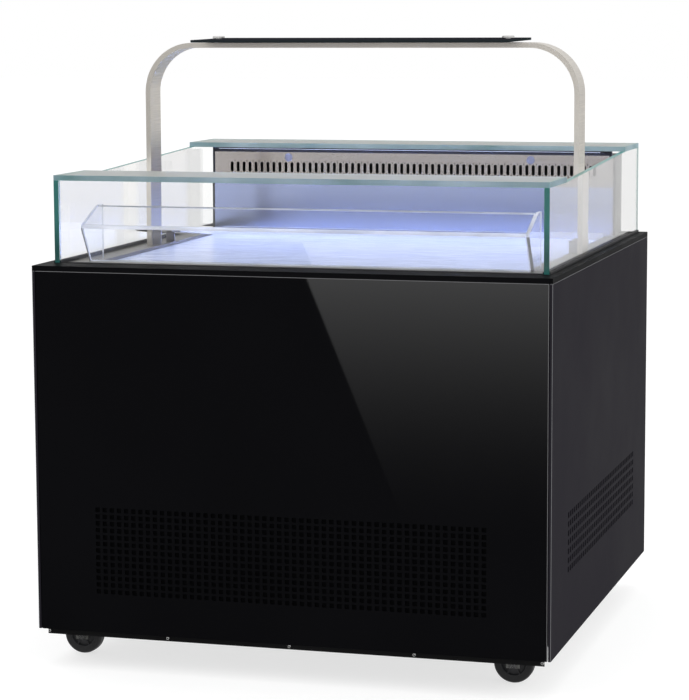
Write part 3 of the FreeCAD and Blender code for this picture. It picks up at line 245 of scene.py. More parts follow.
def plain_coat(name, shade, roughness, grain=600.0, strength=0.15, spread=0.08, metallic=0.0,
               stretch=(1, 1, 1), lift=1.35, **constants):
    """Paint, plastic, rubber or cast metal: a broad drift of tone over a fine grain."""
    made = Finish(name, roughness, metallic, **constants)
    broad = made.noise(7.0, stretch, 3.0)
    fine = made.noise(grain, stretch, 3.0)
    tone = made.between(broad, 0.0, 0.6)
    speck = made.maths("ADD", tone, made.between(fine, 0.0, 0.4))
    made.feed(Base_Color=made.blend(speck, shade, lighter(shade, lift)),
              Roughness=made.between(broad, roughness - spread, roughness + spread))
    made.relief(fine, strength, 0.0003)
    return made


def brushed(name, shade, roughness, along, spread=0.07, strength=0.08, metallic=1.0, **constants):
    """Brushed metal, with fine lines along one axis."""
    stretch = [260.0, 260.0, 260.0]
    stretch["xyz".index(along)] = 3.0
    made = Finish(name, roughness, metallic, **constants)
    lines = made.noise(4.0, stretch, 2.0)
    smear = made.noise(5.0, (1, 1, 1), 4.0)
    tone = made.blend(made.between(lines, 0.0, 1.0), lighter(shade, 0.86), lighter(shade, 1.1))
    wear = made.maths("ADD", made.maths("MULTIPLY", lines, 0.5), made.maths("MULTIPLY", smear, 0.5))
    made.feed(Base_Color=tone, Roughness=made.between(wear, roughness - spread, roughness + spread))
    made.relief(lines, strength, 0.0002)
    return made


def panel_coat(name, shade, highlight_shade, roughness, across, node, edge, grain, strength, **constants):
    """A coated panel with a painted highlight along its top and down one side, where its bare cut edges
    catch the light.
    """
    low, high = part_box(node)
    made = Finish(name, roughness, **constants)
    place = made.axes()
    if across == 0:
        beside = made.maths("GREATER_THAN", place[0], high.x - edge)
    else:
        front = made.maths("LESS_THAN", place[1], low.y + edge)
        reach = max(abs(low.x), abs(high.x)) - edge
        outer = made.maths("GREATER_THAN", made.maths("ABSOLUTE", place[0]), reach)
        beside = made.maths("MULTIPLY", front, outer)
    above = made.maths("GREATER_THAN", place[2], high.z - edge)
    highlight_band = made.maths("MAXIMUM", beside, above)
    broad = made.noise(3.0)
    fine = made.noise(grain, detail=2.0)
    skin = made.blend(made.between(broad, 0.0, 1.0), shade, lighter(shade, 1.25))
    # Painted highlight: a lighter band within the edge width, standing for light caught by the bare edges.
    made.feed(Base_Color=made.blend(highlight_band, skin, highlight_shade),
              Roughness=made.maths("ADD", made.maths("MULTIPLY", highlight_band, 0.3),
                                   made.between(broad, roughness * 0.85, roughness * 1.15)))
    made.relief(fine, strength, 0.0002)
    return made


def pane_glass(name, tint, edge_tint, thin, dirt=0.0, ends=None, painted_edge_glow=0.0):
    """Clear glass whose polished edges show the colour of its depth, and, where asked, a painted glow on
    those edges that brightens towards the top.
    """
    made = Finish(name, 0.0, IOR=1.45, Transmission_Weight=1.0)
    facing = made.maths("ABSOLUTE", made.faces()[thin])
    edge = made.maths("LESS_THAN", facing, 0.7)
    haze = made.noise(9.0)
    deep = made.blend(made.between(haze, 0.0, 1.0), edge_tint, ends or lighter(edge_tint, 1.6))
    clear = made.blend(made.between(haze, 0.0, 1.0), tint, lighter(tint, 1.02))
    made.feed(Base_Color=made.blend(edge, clear, deep),
              Roughness=made.maths("ADD", made.maths("MULTIPLY", edge, 0.22),
                                   made.between(haze, dirt, dirt + 0.01)))
    # Painted glow: the edges give off light in their own tint, more of it towards the top, though the glass
    # is no lamp.
    if painted_edge_glow:
        made.shader.inputs["Emission Color"].default_value = (*edge_tint, 1.0)
        rise = made.between(made.axes()[2], 0.45, 1.0, 0.80, 0.86)
        made.feed(Emission_Strength=made.maths("MULTIPLY", edge, made.maths("MULTIPLY", rise, painted_edge_glow)))
    made.show_through(tint)
    return made


# Shapes


def block(bm, low, high, finish=0):
    """A closed box between two corners."""
    corners = [bm.verts.new((x, y, z)) for x in (low[0], high[0]) for y in (low[1], high[1])
               for z in (low[2], high[2])]
    for face in ((0, 1, 3, 2), (4, 6, 7, 5), (0, 4, 5, 1), (2, 3, 7, 6), (0, 2, 6, 4), (1, 5, 7, 3)):
        bm.faces.new([corners[i] for i in face]).material_index = finish


def spun(bm, outline, centre, axis, steps=40, finish=0):
    """A turned shape: an outline of (radius, distance along the axis) taken round an axis."""
    centre, axis = Vector(centre), Vector(axis)
    side = axis.orthogonal().normalized()
    other = axis.cross(side)
    rings = []
    for radius, along in outline:
        middle = centre + axis * along
        if radius < 1e-6:
            rings.append([bm.verts.new(middle)] * steps)
            continue
        turns = [math.tau * i / steps for i in range(steps)]
        rings.append([bm.verts.new(middle + (side * math.cos(t) + other * math.sin(t)) * radius)
                      for t in turns])
    for first, second in zip(rings, rings[1:]):
        for i in range(steps):
            j = (i + 1) % steps
            corners = list(dict.fromkeys((first[i], first[j], second[j], second[i])))
            bm.faces.new(corners).material_index = finish


def swept(bm, points, radius, sides=12, finish=0):
    """A round bar or pipe along a line of points, closed at both ends."""
    points = [Vector(p) for p in points]
    ways = [(b - a).normalized() for a, b in zip(points, points[1:])]
    up = ways[0].orthogonal().normalized()
    rings = []
    for i, point in enumerate(points):
        way = (ways[max(i - 1, 0)] + ways[min(i, len(ways) - 1)]).normalized()
        up = (up - way * up.dot(way)).normalized()
        other = way.cross(up)
        rings.append([bm.verts.new(point + (up * math.cos(t) + other * math.sin(t)) * radius)
                      for t in (math.tau * k / sides for k in range(sides))])
    for first, second in zip(rings, rings[1:]):
        for k in range(sides):
            m = (k + 1) % sides
            bm.faces.new((first[k], first[m], second[m], second[k])).material_index = finish
    bm.faces.new(rings[0][::-1]).material_index = finish
    bm.faces.new(rings[-1]).material_index = finish


def prism(bm, outline, axis, low, high, finish=0, cap=None):
    """A flat outline carried along an axis; the outline gives the two other axes in order."""
    others = [i for i in range(3) if i != axis]

    def corner(point, along):
        place = [0.0, 0.0, 0.0]
        place[axis] = along
        place[others[0]], place[others[1]] = point
        return bm.verts.new(place)

    first = [corner(point, low) for point in outline]
    second = [corner(point, high) for point in outline]
    for i in range(len(outline)):
        j = (i + 1) % len(outline)
        bm.faces.new((first[i], first[j], second[j], second[i])).material_index = finish
    for ring in (first[::-1], second):
        bm.faces.new(ring).material_index = finish if cap is None else cap


def rounded(points, radius, steps=5):
    """A polyline with its inner corners rounded."""
    made = [Vector(points[0])]
    for before, corner, after in zip(points, points[1:], points[2:]):
        before, corner, after = Vector(before), Vector(corner), Vector(after)
        reach = min(radius, (before - corner).length / 2, (after - corner).length / 2)
        start = corner + (before - corner).normalized() * reach
        end = corner + (after - corner).normalized() * reach
        for k in range(steps + 1):
            t = k / steps
            made.append(start * (1 - t) ** 2 + corner * 2 * t * (1 - t) + end * t ** 2)
    made.append(Vector(points[-1]))
    return made


def thick_line(line, thickness):
    """The outline of a sheet of even thickness whose outer side follows a line."""
    inner = []
    for i, point in enumerate(line):
        way = (line[min(i + 1, len(line) - 1)] - line[max(i - 1, 0)]).normalized()
        inner.append(point + Vector((-way.y, way.x)) * thickness)
    return list(line) + inner[::-1]


def make(name, bm, finishes, body=BODY, bevel=0.0, replaces=(), corner=35.0):
    """Turns the mesh into a piece with its finishes, on its body, in place of CAD nodes."""
    bmesh.ops.remove_doubles(bm, verts=bm.verts, dist=1e-6)
    bmesh.ops.recalc_face_normals(bm, faces=bm.faces)
    mesh = bpy.data.meshes.new(name)
    bm.to_mesh(mesh)
    bm.free()
    if corner:
        mesh.shade_smooth()
        mesh.set_sharp_from_angle(angle=math.radians(corner))
    else:
        mesh.shade_flat()
    for finish in finishes:
        mesh.materials.append(finish.material)
    piece = bpy.data.objects.new(name, mesh)
    bpy.context.scene.collection.objects.link(piece)
    if bevel:
        rounding = piece.modifiers.new("Rounding", "BEVEL")
        rounding.width = bevel
        rounding.segments = 2
        rounding.limit_method = "ANGLE"
        rounding.harden_normals = True
    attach(piece, body)
    if replaces:
        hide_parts(*replaces)
    return piece


def dress(finish, *names):
    """Gives CAD pieces their finish."""
    for name in names:
        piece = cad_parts[name]
        if not piece.material_slots:
            piece.data.materials.append(finish.material)
        for place in piece.material_slots:
            place.material = finish.material


def sizes(context):
    """The sizes and colours chosen for the cabinet."""
    return context.scene.cabinet


# Pieces


class CABINET_OT_outer_panels(bpy.types.Operator):
    """Coat the front, side and rear panels, the rim, the kick strip and the base"""
    bl_idname = "cabinet.outer_panels"
    bl_label = "Outer Panels"

    def execute(self, context):
        chosen = sizes(context).panels
        dress(panel_coat("front_gloss", chosen.gloss_black, chosen.edge_highlight_grey, 0.012, 0, "front_panel",
                         chosen.edge_width, 900.0, 0.004, Specular_IOR_Level=0.28), "front_panel")
        for name in ("left_panel", "right_panel"):
            dress(panel_coat(name + "_charcoal", chosen.charcoal, chosen.edge_highlight_grey, 0.5, 1, name,
                             chosen.edge_width, 1400.0, 0.12, IOR=1.05), name)
        dress(panel_coat("rear_charcoal", chosen.charcoal, chosen.charcoal, 0.5, 0, "rear_panel",
                         chosen.edge_width, 1400.0, 0.12, IOR=1.05), "rear_panel")
        dress(plain_coat("rim_black", chosen.trim_black, 0.4, 1200.0, 0.08, 0.05, IOR=1.05), "top_rim")
        dress(plain_coat("kick_black", chosen.trim_black, 0.4, 1200.0, 0.1, 0.05,
                         Specular_IOR_Level=0.2), "kick_strip")
        # Dust filters behind the vents, coloured near black as painted shade, so that the vents look dark
        # inside.
        mesh = plain_coat("filter_mesh_shade", (0.003, 0.003, 0.0035), 0.9, 900.0, 0.6, 0.05,
                          Specular_IOR_Level=0.05)
        gap, bevel = 0.0003, 0.0003
        bm = bmesh.new()
        low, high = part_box("front_panel")
        thick, margin, foot, top = 0.0012, 0.10, 0.070, 0.255
        block(bm, (low.x + margin, high.y + gap, low.z + foot),
              (high.x - margin, high.y + gap + thick, low.z + top))
        make("front_filter", bm, [mesh], bevel=bevel)
        bm = bmesh.new()
        thick, margin, foot, top = 0.0011, 0.13, 0.125, 0.265
        for name, way in (("left_panel", 1), ("right_panel", -1)):
            low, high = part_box(name)
            outer = (high.x if way > 0 else low.x) + way * gap
            inner = outer + way * thick
            block(bm, (min(outer, inner), low.y + margin, low.z + foot),
                  (max(outer, inner), high.y - margin, low.z + top))
        make("side_filters", bm, [mesh], bevel=bevel)
        dress(brushed("base_galvanised", (0.42, 0.43, 0.43), 0.42, "x"), "base_pan", "corner_posts")
        return {"FINISHED"}


class CABINET_OT_kick_screws(bpy.types.Operator):
    """Turn the kick strip's cross-head screws"""
    bl_idname = "cabinet.kick_screws"
    bl_label = "Kick Strip Screws"

    def execute(self, context):
        radius = sizes(context).panels.screw_radius
        low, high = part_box("kick_strip_screws")
        height = high.y - low.y
        middle = (low.z + high.z) / 2
        count = 5
        bm = bmesh.new()
        for step in range(count):
            x = low.x + radius + (high.x - low.x - 2 * radius) * step / (count - 1)
            centre = (x, high.y, middle)
            spun(bm, [(radius, 0), (radius, height * 0.35), (radius * 0.86, height * 0.75),
                      (radius * 0.5, height), (radius * 0.34, height), (radius * 0.26, height * 0.3),
                      (0, height * 0.25)], centre, (0, -1, 0), 28)
            # Painted shade: each cross recess is a flat near-black cross on the head, standing for the shade
            # inside it.
            for wide, tall in ((0.55, 0.12), (0.12, 0.55)):
                block(bm, (x - radius * wide, low.y - 0.00002, middle - radius * tall),
                      (x + radius * wide, low.y + 0.0003, middle + radius * tall), 1)
        bright = brushed("screw_zinc", (0.75, 0.75, 0.74), 0.25, "z")
        recess = plain_coat("screw_recess_shade", (0.04, 0.04, 0.04), 0.6)
        make("kick_screws", bm, [bright, recess], replaces=["kick_strip_screws"])
        return {"FINISHED"}


class CABINET_OT_cold_tub(bpy.types.Operator):
    """Finish the tub, its foam, the steel inner rim and the lit deck"""
    bl_idname = "cabinet.cold_tub"
    bl_label = "Cold Tub and Deck"

    def execute(self, context):
        chosen = sizes(context).tub
        dress(brushed("tub_steel", chosen.steel, 0.32, "x"), "tub_liner")
        dress(brushed("rim_steel", chosen.steel, 0.36, "y"), "inner_rim")
        dress(plain_coat("foam_cream", (0.72, 0.62, 0.38), 0.9, 260.0, 0.6, 0.05), "tub_foam")
        deck = Finish("deck_lamp_tinted", 0.22, Specular_IOR_Level=0.5, Coat_Weight=0.15)
        streaks = deck.noise(3.0, (1.5, 22.0, 1.0), 3.0)
        fine = deck.noise(5.0, (3.0, 260.0, 3.0), 2.0)
        # Partly painted light: the deck's white is tinted blue, standing for the lamp shining on it.
        deck.feed(Base_Color=deck.blend(deck.between(streaks, 0.0, 1.0), chosen.deck_lamp_tinted,
                                        lighter(chosen.deck_lamp_tinted, 1.12)),
                  Roughness=deck.between(fine, 0.16, 0.34))
        deck.relief(fine, 0.012, 0.0001)
        dress(deck, "deck_pan")
        return {"FINISHED"}


class CABINET_OT_intake_grille(bpy.types.Operator):
    """Build the air intake: a folded frame with slanted slats behind the front glass"""
    bl_idname = "cabinet.intake_grille"
    bl_label = "Intake Grille"

    def execute(self, context):
        chosen = sizes(context).tub
        low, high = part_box("intake_grille")
        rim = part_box("inner_rim")[1].z - 0.0006
        lip, first, deep, lean = 0.006, 0.002, 0.004, 0.8
        bm = bmesh.new()
        block(bm, (low.x, low.y, low.z), (high.x, low.y + lip, rim))
        block(bm, (low.x, high.y - lip, low.z), (high.x, high.y, high.z))
        block(bm, (low.x, low.y + lip, low.z), (low.x + lip, high.y - lip, high.z))
        block(bm, (high.x - lip, low.y + lip, low.z), (high.x, high.y - lip, high.z))
        depth = high.y - low.y - 2 * lip
        count = int((high.x - low.x - 2 * lip - depth) / chosen.slat_pitch)
        width = chosen.slat_pitch * 0.45
        for k in range(count):
            x = low.x + lip + first + k * chosen.slat_pitch
            outline = [(x, low.y + lip), (x + width, low.y + lip),
                       (x + width + depth * lean, high.y - lip), (x + depth * lean, high.y - lip)]
            prism(bm, outline, 2, rim - deep, rim)
        steel = brushed("grille_steel", lighter(chosen.steel, 1.3), 0.35, "x")
        make("intake_slats", bm, [steel], bevel=0.0004, replaces=["intake_grille"])
        bm = bmesh.new()
        block(bm, (low.x + lip, low.y + lip, low.z + 0.0005),
              (high.x - lip, high.y - lip, low.z + 0.0015))
        dark = plain_coat("intake_dark", (0.02, 0.02, 0.025), 0.7, 300.0, 0.4)
        make("intake_screen", bm, [dark], bevel=0.0002)
        return {"FINISHED"}


class CABINET_OT_duct_face(bpy.types.Operator):
    """Build the bright duct face with its row of round-ended air slots"""
    bl_idname = "cabinet.duct_face"
    bl_label = "Duct Face"

    def execute(self, context):
        chosen = sizes(context).tub
        low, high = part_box("duct_panel")
        drop, half_row = 0.0325, 0.014
        row_low, row_high = high.z - drop - half_row, high.z - drop + half_row
        middle = (row_low + row_high) / 2
        half_pitch = chosen.slot_pitch / 2
        half = half_pitch * chosen.slot_count
        radius, straight = chosen.slot_width / 2, (chosen.slot_height - chosen.slot_width) / 2
        steps = 24
        bm = bmesh.new()

        def plate(*corners):
            bm.faces.new([bm.verts.new(corner) for corner in corners])

        for x0, x1, z0, z1 in ((low.x, high.x, low.z, row_low), (low.x, high.x, row_high, high.z),
                               (low.x, -half, row_low, row_high), (half, high.x, row_low, row_high)):
            for y in (low.y, high.y):
                plate((x0, y, z0), (x1, y, z0), (x1, y, z1), (x0, y, z1))
        for x in (low.x, high.x):
            plate((x, low.y, low.z), (x, high.y, low.z), (x, high.y, high.z), (x, low.y, high.z))
        for z in (low.z, high.z):
            plate((low.x, low.y, z), (high.x, low.y, z), (high.x, high.y, z), (low.x, high.y, z))
        for k in range(chosen.slot_count):
            centre = -half + chosen.slot_pitch * (k + 0.5)
            loops = []
            for y in (low.y, high.y):
                hole, border = [], []
                for i in range(steps):
                    t = math.tau * (i + 0.5) / steps
                    dx, dz = math.cos(t), math.sin(t)
                    hole.append(bm.verts.new((centre + radius * dx, y,
                                              middle + radius * dz + math.copysign(straight, dz))))
                    reach = min(half_pitch / max(abs(dx), 1e-9), half_row / max(abs(dz), 1e-9))
                    border.append(bm.verts.new((centre + dx * reach, y, middle + dz * reach)))
                for i in range(steps):
                    j = (i + 1) % steps
                    bm.faces.new((hole[i], hole[j], border[j], border[i]))
                for sx in (-1, 1):
                    for sz in (-1, 1):
                        corner = Vector((centre + sx * half_pitch, y, middle + sz * half_row))
                        near = sorted(border, key=lambda v: (v.co - corner).length)[:2]
                        bm.faces.new((near[0], near[1], bm.verts.new(corner)))
                loops.append(hole)
            for i in range(steps):
                j = (i + 1) % steps
                bm.faces.new((loops[0][i], loops[0][j], loops[1][j], loops[1][i]))
        steel = Finish("duct_bright", 0.15, 1.0)
        lines = steel.noise(4.0, (3.0, 260.0, 260.0), 2.0)
        # Painted reflection: below a set height the steel is coloured blue, standing for the lamp-lit deck
        # mirrored in it.
        reflection_top = low.z + 0.105
        glow = steel.between(steel.axes()[2], 1.0, 0.0, reflection_top - 0.004, reflection_top)
        upper = steel.blend(steel.between(lines, 0.0, 1.0), lighter(chosen.duct_steel, 0.9),
                            lighter(chosen.duct_steel, 1.08))
        steel.feed(Base_Color=steel.blend(glow, upper, chosen.duct_painted_reflection),
                   Roughness=steel.between(lines, 0.12, 0.2))
        make("duct_face", bm, [steel], replaces=["duct_panel"], corner=0)
        dress(plain_coat("duct_dark", (0.02, 0.02, 0.022), 0.5, 120.0, 0.01), "duct_housing")
        dress(plain_coat("duct_rubber", (0.012, 0.013, 0.02), 0.55, 900.0, 0.3), "duct_gasket")
        return {"FINISHED"}


class CABINET_OT_duct_plugs(bpy.types.Operator):
    """Turn the two domed plugs in the duct face"""
    bl_idname = "cabinet.duct_plugs"
    bl_label = "Duct Plugs"

    def execute(self, context):
        low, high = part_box("duct_plugs")
        radius, depth = (high.z - low.z) / 2, high.y - low.y
        bm = bmesh.new()
        for x in (low.x + radius, high.x - radius):
            spun(bm, [(radius, 0), (radius, depth * 0.3), (radius * 0.9, depth * 0.7),
                      (radius * 0.72, depth * 0.75), (radius * 0.6, depth * 0.95),
                      (radius * 0.3, depth), (0, depth)],
                 (x, high.y, (low.z + high.z) / 2), (0, -1, 0), 36)
        make("domed_plugs", bm, [plain_coat("plug_white", (0.20, 0.20, 0.25), 0.35, 700.0, 0.1)],
             replaces=["duct_plugs"])
        return {"FINISHED"}


class CABINET_OT_led_lamp(bpy.types.Operator):
    """Build the lamp under the rear glass strip: channel, lens and end caps"""
    bl_idname = "cabinet.led_lamp"
    bl_label = "Lamp"

    def execute(self, context):
        low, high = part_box("led_lamp")
        wall, cap = 0.0015, 0.004
        middle, depth = (low.y + high.y) / 2, (high.y - low.y) / 2 - wall
        bm = bmesh.new()
        prism(bm, [(low.y, high.z), (high.y, high.z), (high.y, low.z + wall),
                   (high.y - wall, low.z + wall), (high.y - wall, high.z - wall),
                   (low.y + wall, high.z - wall), (low.y + wall, low.z + wall),
                   (low.y, low.z + wall)], 0, low.x + cap, high.x - cap)
        lens = [(middle + depth * math.cos(t), low.z + wall + 0.0005 - wall * math.sin(t))
                for t in (math.pi * k / 10 for k in range(11))]
        prism(bm, lens + [(low.y + wall, high.z - 2 * wall), (high.y - wall, high.z - 2 * wall)], 0,
              low.x + cap, high.x - cap, 1)
        for x in (low.x, high.x - cap):
            block(bm, (x, low.y, low.z), (x + cap, high.y, high.z), 2)
        strength = sizes(context).tub.lamp_glow
        glow = Finish("lamp_lens", 0.4, Emission_Color=(0.72, 0.78, 1.0, 1.0))
        frost = glow.noise(60.0)
        glow.feed(Base_Color=glow.blend(glow.between(frost, 0, 1), (0.8, 0.84, 0.95), (0.9, 0.93, 1.0)),
                  Emission_Strength=glow.between(frost, strength * 0.95, strength))
        make("lamp_bar", bm, [plain_coat("lamp_channel", (0.015, 0.016, 0.02), 0.45), glow,
                              plain_coat("lamp_caps", (0.015, 0.016, 0.02), 0.5)],
             replaces=["led_lamp"])
        return {"FINISHED"}


class CABINET_OT_glass(bpy.types.Operator):
    """Tint the panes and lay the seals at their feet"""
    bl_idname = "cabinet.glass"
    bl_label = "Glass"

    def execute(self, context):
        chosen = sizes(context).glass
        for name, thin in (("glass_left", 0), ("glass_right", 0), ("glass_front", 1), ("glass_rear", 1)):
            dress(pane_glass(name + "_clear", chosen.pane, chosen.pane_edge, thin, painted_edge_glow=0.55), name)
        for name in ("glass_top_front", "glass_top_rear"):
            strip = pane_glass(name + "_frosted", chosen.frost, (0.16, 0.30, 0.32), 2, 0.3,
                               (0.52, 0.66, 0.76))
            strip.shader.inputs["Transmission Weight"].default_value = 0.82
            dress(strip, name)
        front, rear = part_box("glass_front"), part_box("glass_rear")
        left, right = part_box("glass_left"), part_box("glass_right")
        bead, gap, sunk, side_tall, cross_tall = 0.0022, 0.0001, 0.001, 0.0045, 0.001
        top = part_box("top_rim")[1].z
        bm = bmesh.new()
        for low, high in (front, rear):
            for y0, y1 in ((low.y - bead, low.y - gap), (high.y + gap, high.y + bead)):
                block(bm, (left[1].x + bead, y0, top - sunk), (right[0].x - bead, y1, top + cross_tall))
        for low, high in (left, right):
            for x0, x1 in ((low.x - bead, low.x - gap), (high.x + gap, high.x + bead)):
                block(bm, (x0, front[0].y, top - sunk), (x1, rear[1].y, top + side_tall))
        make("glass_foot_seal", bm, [plain_coat("seal_black", (0.006, 0.006, 0.007), 0.5, 900.0, 0.2)],
             bevel=0.0007)
        return {"FINISHED"}


class CABINET_OT_canopy(bpy.types.Operator):
    """Finish the arch and its brackets, and build the black shelf with its capped standoffs"""
    bl_idname = "cabinet.canopy"
    bl_label = "Canopy"

    def execute(self, context):
        chosen = sizes(context)
        dress(brushed("arch_satin", chosen.metal.champagne, 0.36, "y", 0.06, 0.04), "canopy_arch")
        dress(brushed("bracket_satin", (0.36, 0.36, 0.42), 0.33, "y"), "post_brackets")
        shelf = Finish("shelf_black", 0.06, IOR=1.0)
        edge = shelf.maths("LESS_THAN", shelf.maths("ABSOLUTE", shelf.faces()[2]), 0.7)
        haze = shelf.noise(6.0)
        top = shelf.blend(shelf.between(haze, 0, 1), chosen.glass.shelf, lighter(chosen.glass.shelf, 1.5))
        shelf.feed(Base_Color=shelf.blend(edge, top, (0.015, 0.02, 0.022)),
                   Roughness=shelf.between(haze, 0.04, 0.09))
        low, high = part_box("canopy_shelf")
        bm = bmesh.new()
        sheet = chosen.glass.shelf_sheet
        prism(bm, [(low.y, low.z), (high.y, high.z - sheet), (high.y, high.z), (low.y, low.z + sheet)],
              0, low.x, high.x)
        make("shelf_glass", bm, [shelf], bevel=0.0008, replaces=["canopy_shelf"])
        low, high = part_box("canopy_standoffs")
        radius = (high.y - low.y) / 2
        shelf_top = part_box("canopy_shelf")[1].z - low.z
        tall = high.z - low.z
        bm = bmesh.new()
        for x in (low.x + radius, high.x - radius):
            spun(bm, [(0, 0), (radius * 0.8, 0), (radius * 0.8, 0.0012), (radius * 0.45, 0.0014),
                      (radius * 0.45, shelf_top), (radius * 0.96, shelf_top), (radius, shelf_top + 0.0006),
                      (radius, tall - 0.0016), (radius * 0.93, tall - 0.0004), (radius * 0.86, tall),
                      (radius * 0.5, tall), (radius * 0.46, tall - 0.0006), (0, tall - 0.0006)],
                 (x, (low.y + high.y) / 2, low.z), (0, 0, 1), 44)
        make("standoff_caps", bm, [brushed("cap_chrome", (0.78, 0.77, 0.76), 0.12, "x", 0.03, 0.02)],
             replaces=["canopy_standoffs"])
        return {"FINISHED"}


class CABINET_OT_guide(bpy.types.Operator):
    """Fold the clear guide behind the front glass and give its edges and fold a painted highlight"""
    bl_idname = "cabinet.guide"
    bl_label = "Clear Guide"

    def execute(self, context):
        chosen = sizes(context).glass
        clear = Finish("acrylic_clear", 0.0, IOR=1.16, Transmission_Weight=1.0)
        haze = clear.noise(14.0)
        tone = clear.blend(clear.between(haze, 0, 1), chosen.acrylic, lighter(chosen.acrylic, 1.03))
        clear.feed(Base_Color=tone, Roughness=clear.between(haze, 0.0, 0.02))
        clear.show_through(chosen.acrylic)
        # Painted highlight: pale colour and a faint glow on the edges and the fold, though the acrylic is no
        # lamp.
        bright = Finish("acrylic_edge_highlight", 0.25, IOR=1.49, Transmission_Weight=0.35,
                        Emission_Color=(*chosen.acrylic_edge_highlight, 1.0))
        painted_glint = bright.noise(30.0, (0.4, 1, 1))
        tone = bright.blend(bright.between(painted_glint, 0, 1), lighter(chosen.acrylic_edge_highlight, 0.75),
                            chosen.acrylic_edge_highlight)
        bright.feed(Base_Color=tone, Emission_Strength=bright.between(painted_glint, 0.08, 0.28))
        low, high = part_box("guide_front")
        ends_low, ends_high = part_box("guide_ends")
        sheet, foot_reach, setback, ground_reach = 0.006, 0.045, 0.0075, 0.05
        foot = (low.y + foot_reach, low.z)
        knee = (low.y, low.z + (high.z - low.z) / 3 * 2)
        crest = (high.y - sheet, high.z)
        line = rounded([foot, knee, crest], chosen.fold_radius, 6)[::-1]
        outline = thick_line(line, sheet)
        shift = min(p.x for p in outline) - low.y
        outline = [Vector((p.x - shift, min(max(p.y, low.z), high.z))) for p in outline]
        half = ends_high.x - sheet
        rim = 0.003
        bm = bmesh.new()
        prism(bm, outline, 0, -half, half, 0, 1)
        bm.normal_update()
        for face in bm.faces:
            place = face.calc_center_median()
            fold = abs(place.z - knee[1]) < 0.0035 and place.y < low.y + sheet
            if abs(face.normal.x) < 0.5 and (place.z > high.z - rim or place.z < low.z + rim or fold):
                face.material_index = 1
        make("guide_sheet", bm, [clear, bright], bevel=0.0006, replaces=["guide_front"])
        profile = [(p.x + setback, p.y) for p in outline[:len(line)]]
        profile += [(ends_high.y, low.z), (ends_high.y, high.z)]
        bm = bmesh.new()
        for side in (-1, 1):
            edge = side * ends_high.x
            prism(bm, profile, 0, min(edge, edge - side * sheet), max(edge, edge - side * sheet), 1, 0)
        bm.normal_update()
        for face in bm.faces:
            place = face.calc_center_median()
            if abs(face.normal.x) < 0.5 and place.z < knee[1] - 0.004 and place.y < low.y + ground_reach:
                face.material_index = 2
        ground = plain_coat("acrylic_ground", (0.27, 0.27, 0.29), 0.4, 400.0, 0.1, lift=1.5)
        make("guide_end_plates", bm, [clear, bright, ground], bevel=0.0006, replaces=["guide_ends"])
        return {"FINISHED"}


class CABINET_OT_casters(bpy.types.Operator):
    """Turn the wheels, finish the forks, axles, swivel plates and brake pedals, and ridge the pedals"""
    bl_idname = "cabinet.casters"
    bl_label = "Casters"

    def execute(self, context):
        chosen = sizes(context)
        rubber = plain_coat("tyre_rubber", chosen.caster.tyre, 0.55, 500.0, 0.35, 0.08)
        hub = plain_coat("hub_plastic", (0.02, 0.02, 0.022), 0.4, 900.0, 0.15)
        zinc = brushed("fork_zinc", chosen.metal.zinc, 0.33, "z")
        steel = brushed("axle_steel", (0.6, 0.6, 0.6), 0.25, "y")
        for place in ("front_left", "front_right", "rear_left", "rear_right"):
            low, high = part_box("caster_wheel_" + place)
            centre = (low + high) / 2
            radius, half = (high.z - low.z) / 2, (high.y - low.y) / 2
            shoulder, inner = chosen.caster.tyre_shoulder, chosen.caster.hub_radius
            tread = [(radius - shoulder * (1 - math.cos(a)), half - shoulder * (1 - math.sin(a)))
                     for a in (math.pi / 2 * k / 5 for k in range(6))]
            bore, boss, face = 0.0045, 0.009, half - 0.0015
            bm = bmesh.new()
            spun(bm, [(inner, -half + 0.001)] + [(r, -h) for r, h in tread[::-1]] + tread
                 + [(inner, half - 0.001), (inner, -half + 0.001)], centre, (0, 1, 0), 64)
            dish = [(boss, half), (boss + 0.0005, face - 0.001), (inner - 0.004, face - 0.004),
                    (inner - 0.0022, face), (inner, face)]
            spun(bm, [(bore, -half)] + [(r, -h) for r, h in dish] + dish[::-1]
                 + [(bore, half), (bore, -half)], centre, (0, 1, 0), 64, 1)
            for k in range(6):
                turn = Matrix.Rotation(math.tau * k / 6, 4, "Y")
                for side in (-1, 1):
                    rib = bmesh.new()
                    sides = sorted((side * face, side * (face - 0.004)))
                    block(rib, (boss, sides[0], -0.0011), (inner - 0.003, sides[1], 0.0011), 1)
                    rib.transform(Matrix.Translation(centre) @ turn)
                    mesh = bpy.data.meshes.new("rib")
                    rib.to_mesh(mesh)
                    bm.from_mesh(mesh)
                    bpy.data.meshes.remove(mesh)
                    rib.free()
            make("wheel_" + place, bm, [rubber, hub], "wheel_" + place, replaces=["caster_wheel_" + place])
            dress(zinc, "caster_fork_" + place)
            dress(steel, "caster_axle_" + place)
        dress(brushed("plate_zinc", chosen.metal.zinc, 0.4, "x"), "caster_plates")
        pedal = plain_coat("pedal_black", (0.03, 0.03, 0.032), 0.45, 700.0, 0.2)
        for place in ("front_left", "front_right"):
            node = "caster_brake_" + place
            low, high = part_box(node)
            dress(pedal, node)
            margin = 0.0025
            bm = bmesh.new()
            for k in range(4):
                x = low.x + 0.0028 + k * 0.0027
                block(bm, (x, low.y + margin, high.z - 0.0006),
                      (x + 0.0011, high.y - margin, high.z + 0.0007))
            make("pedal_ridges_" + place, bm, [pedal], "brake_" + place, bevel=0.0003)
        return {"FINISHED"}


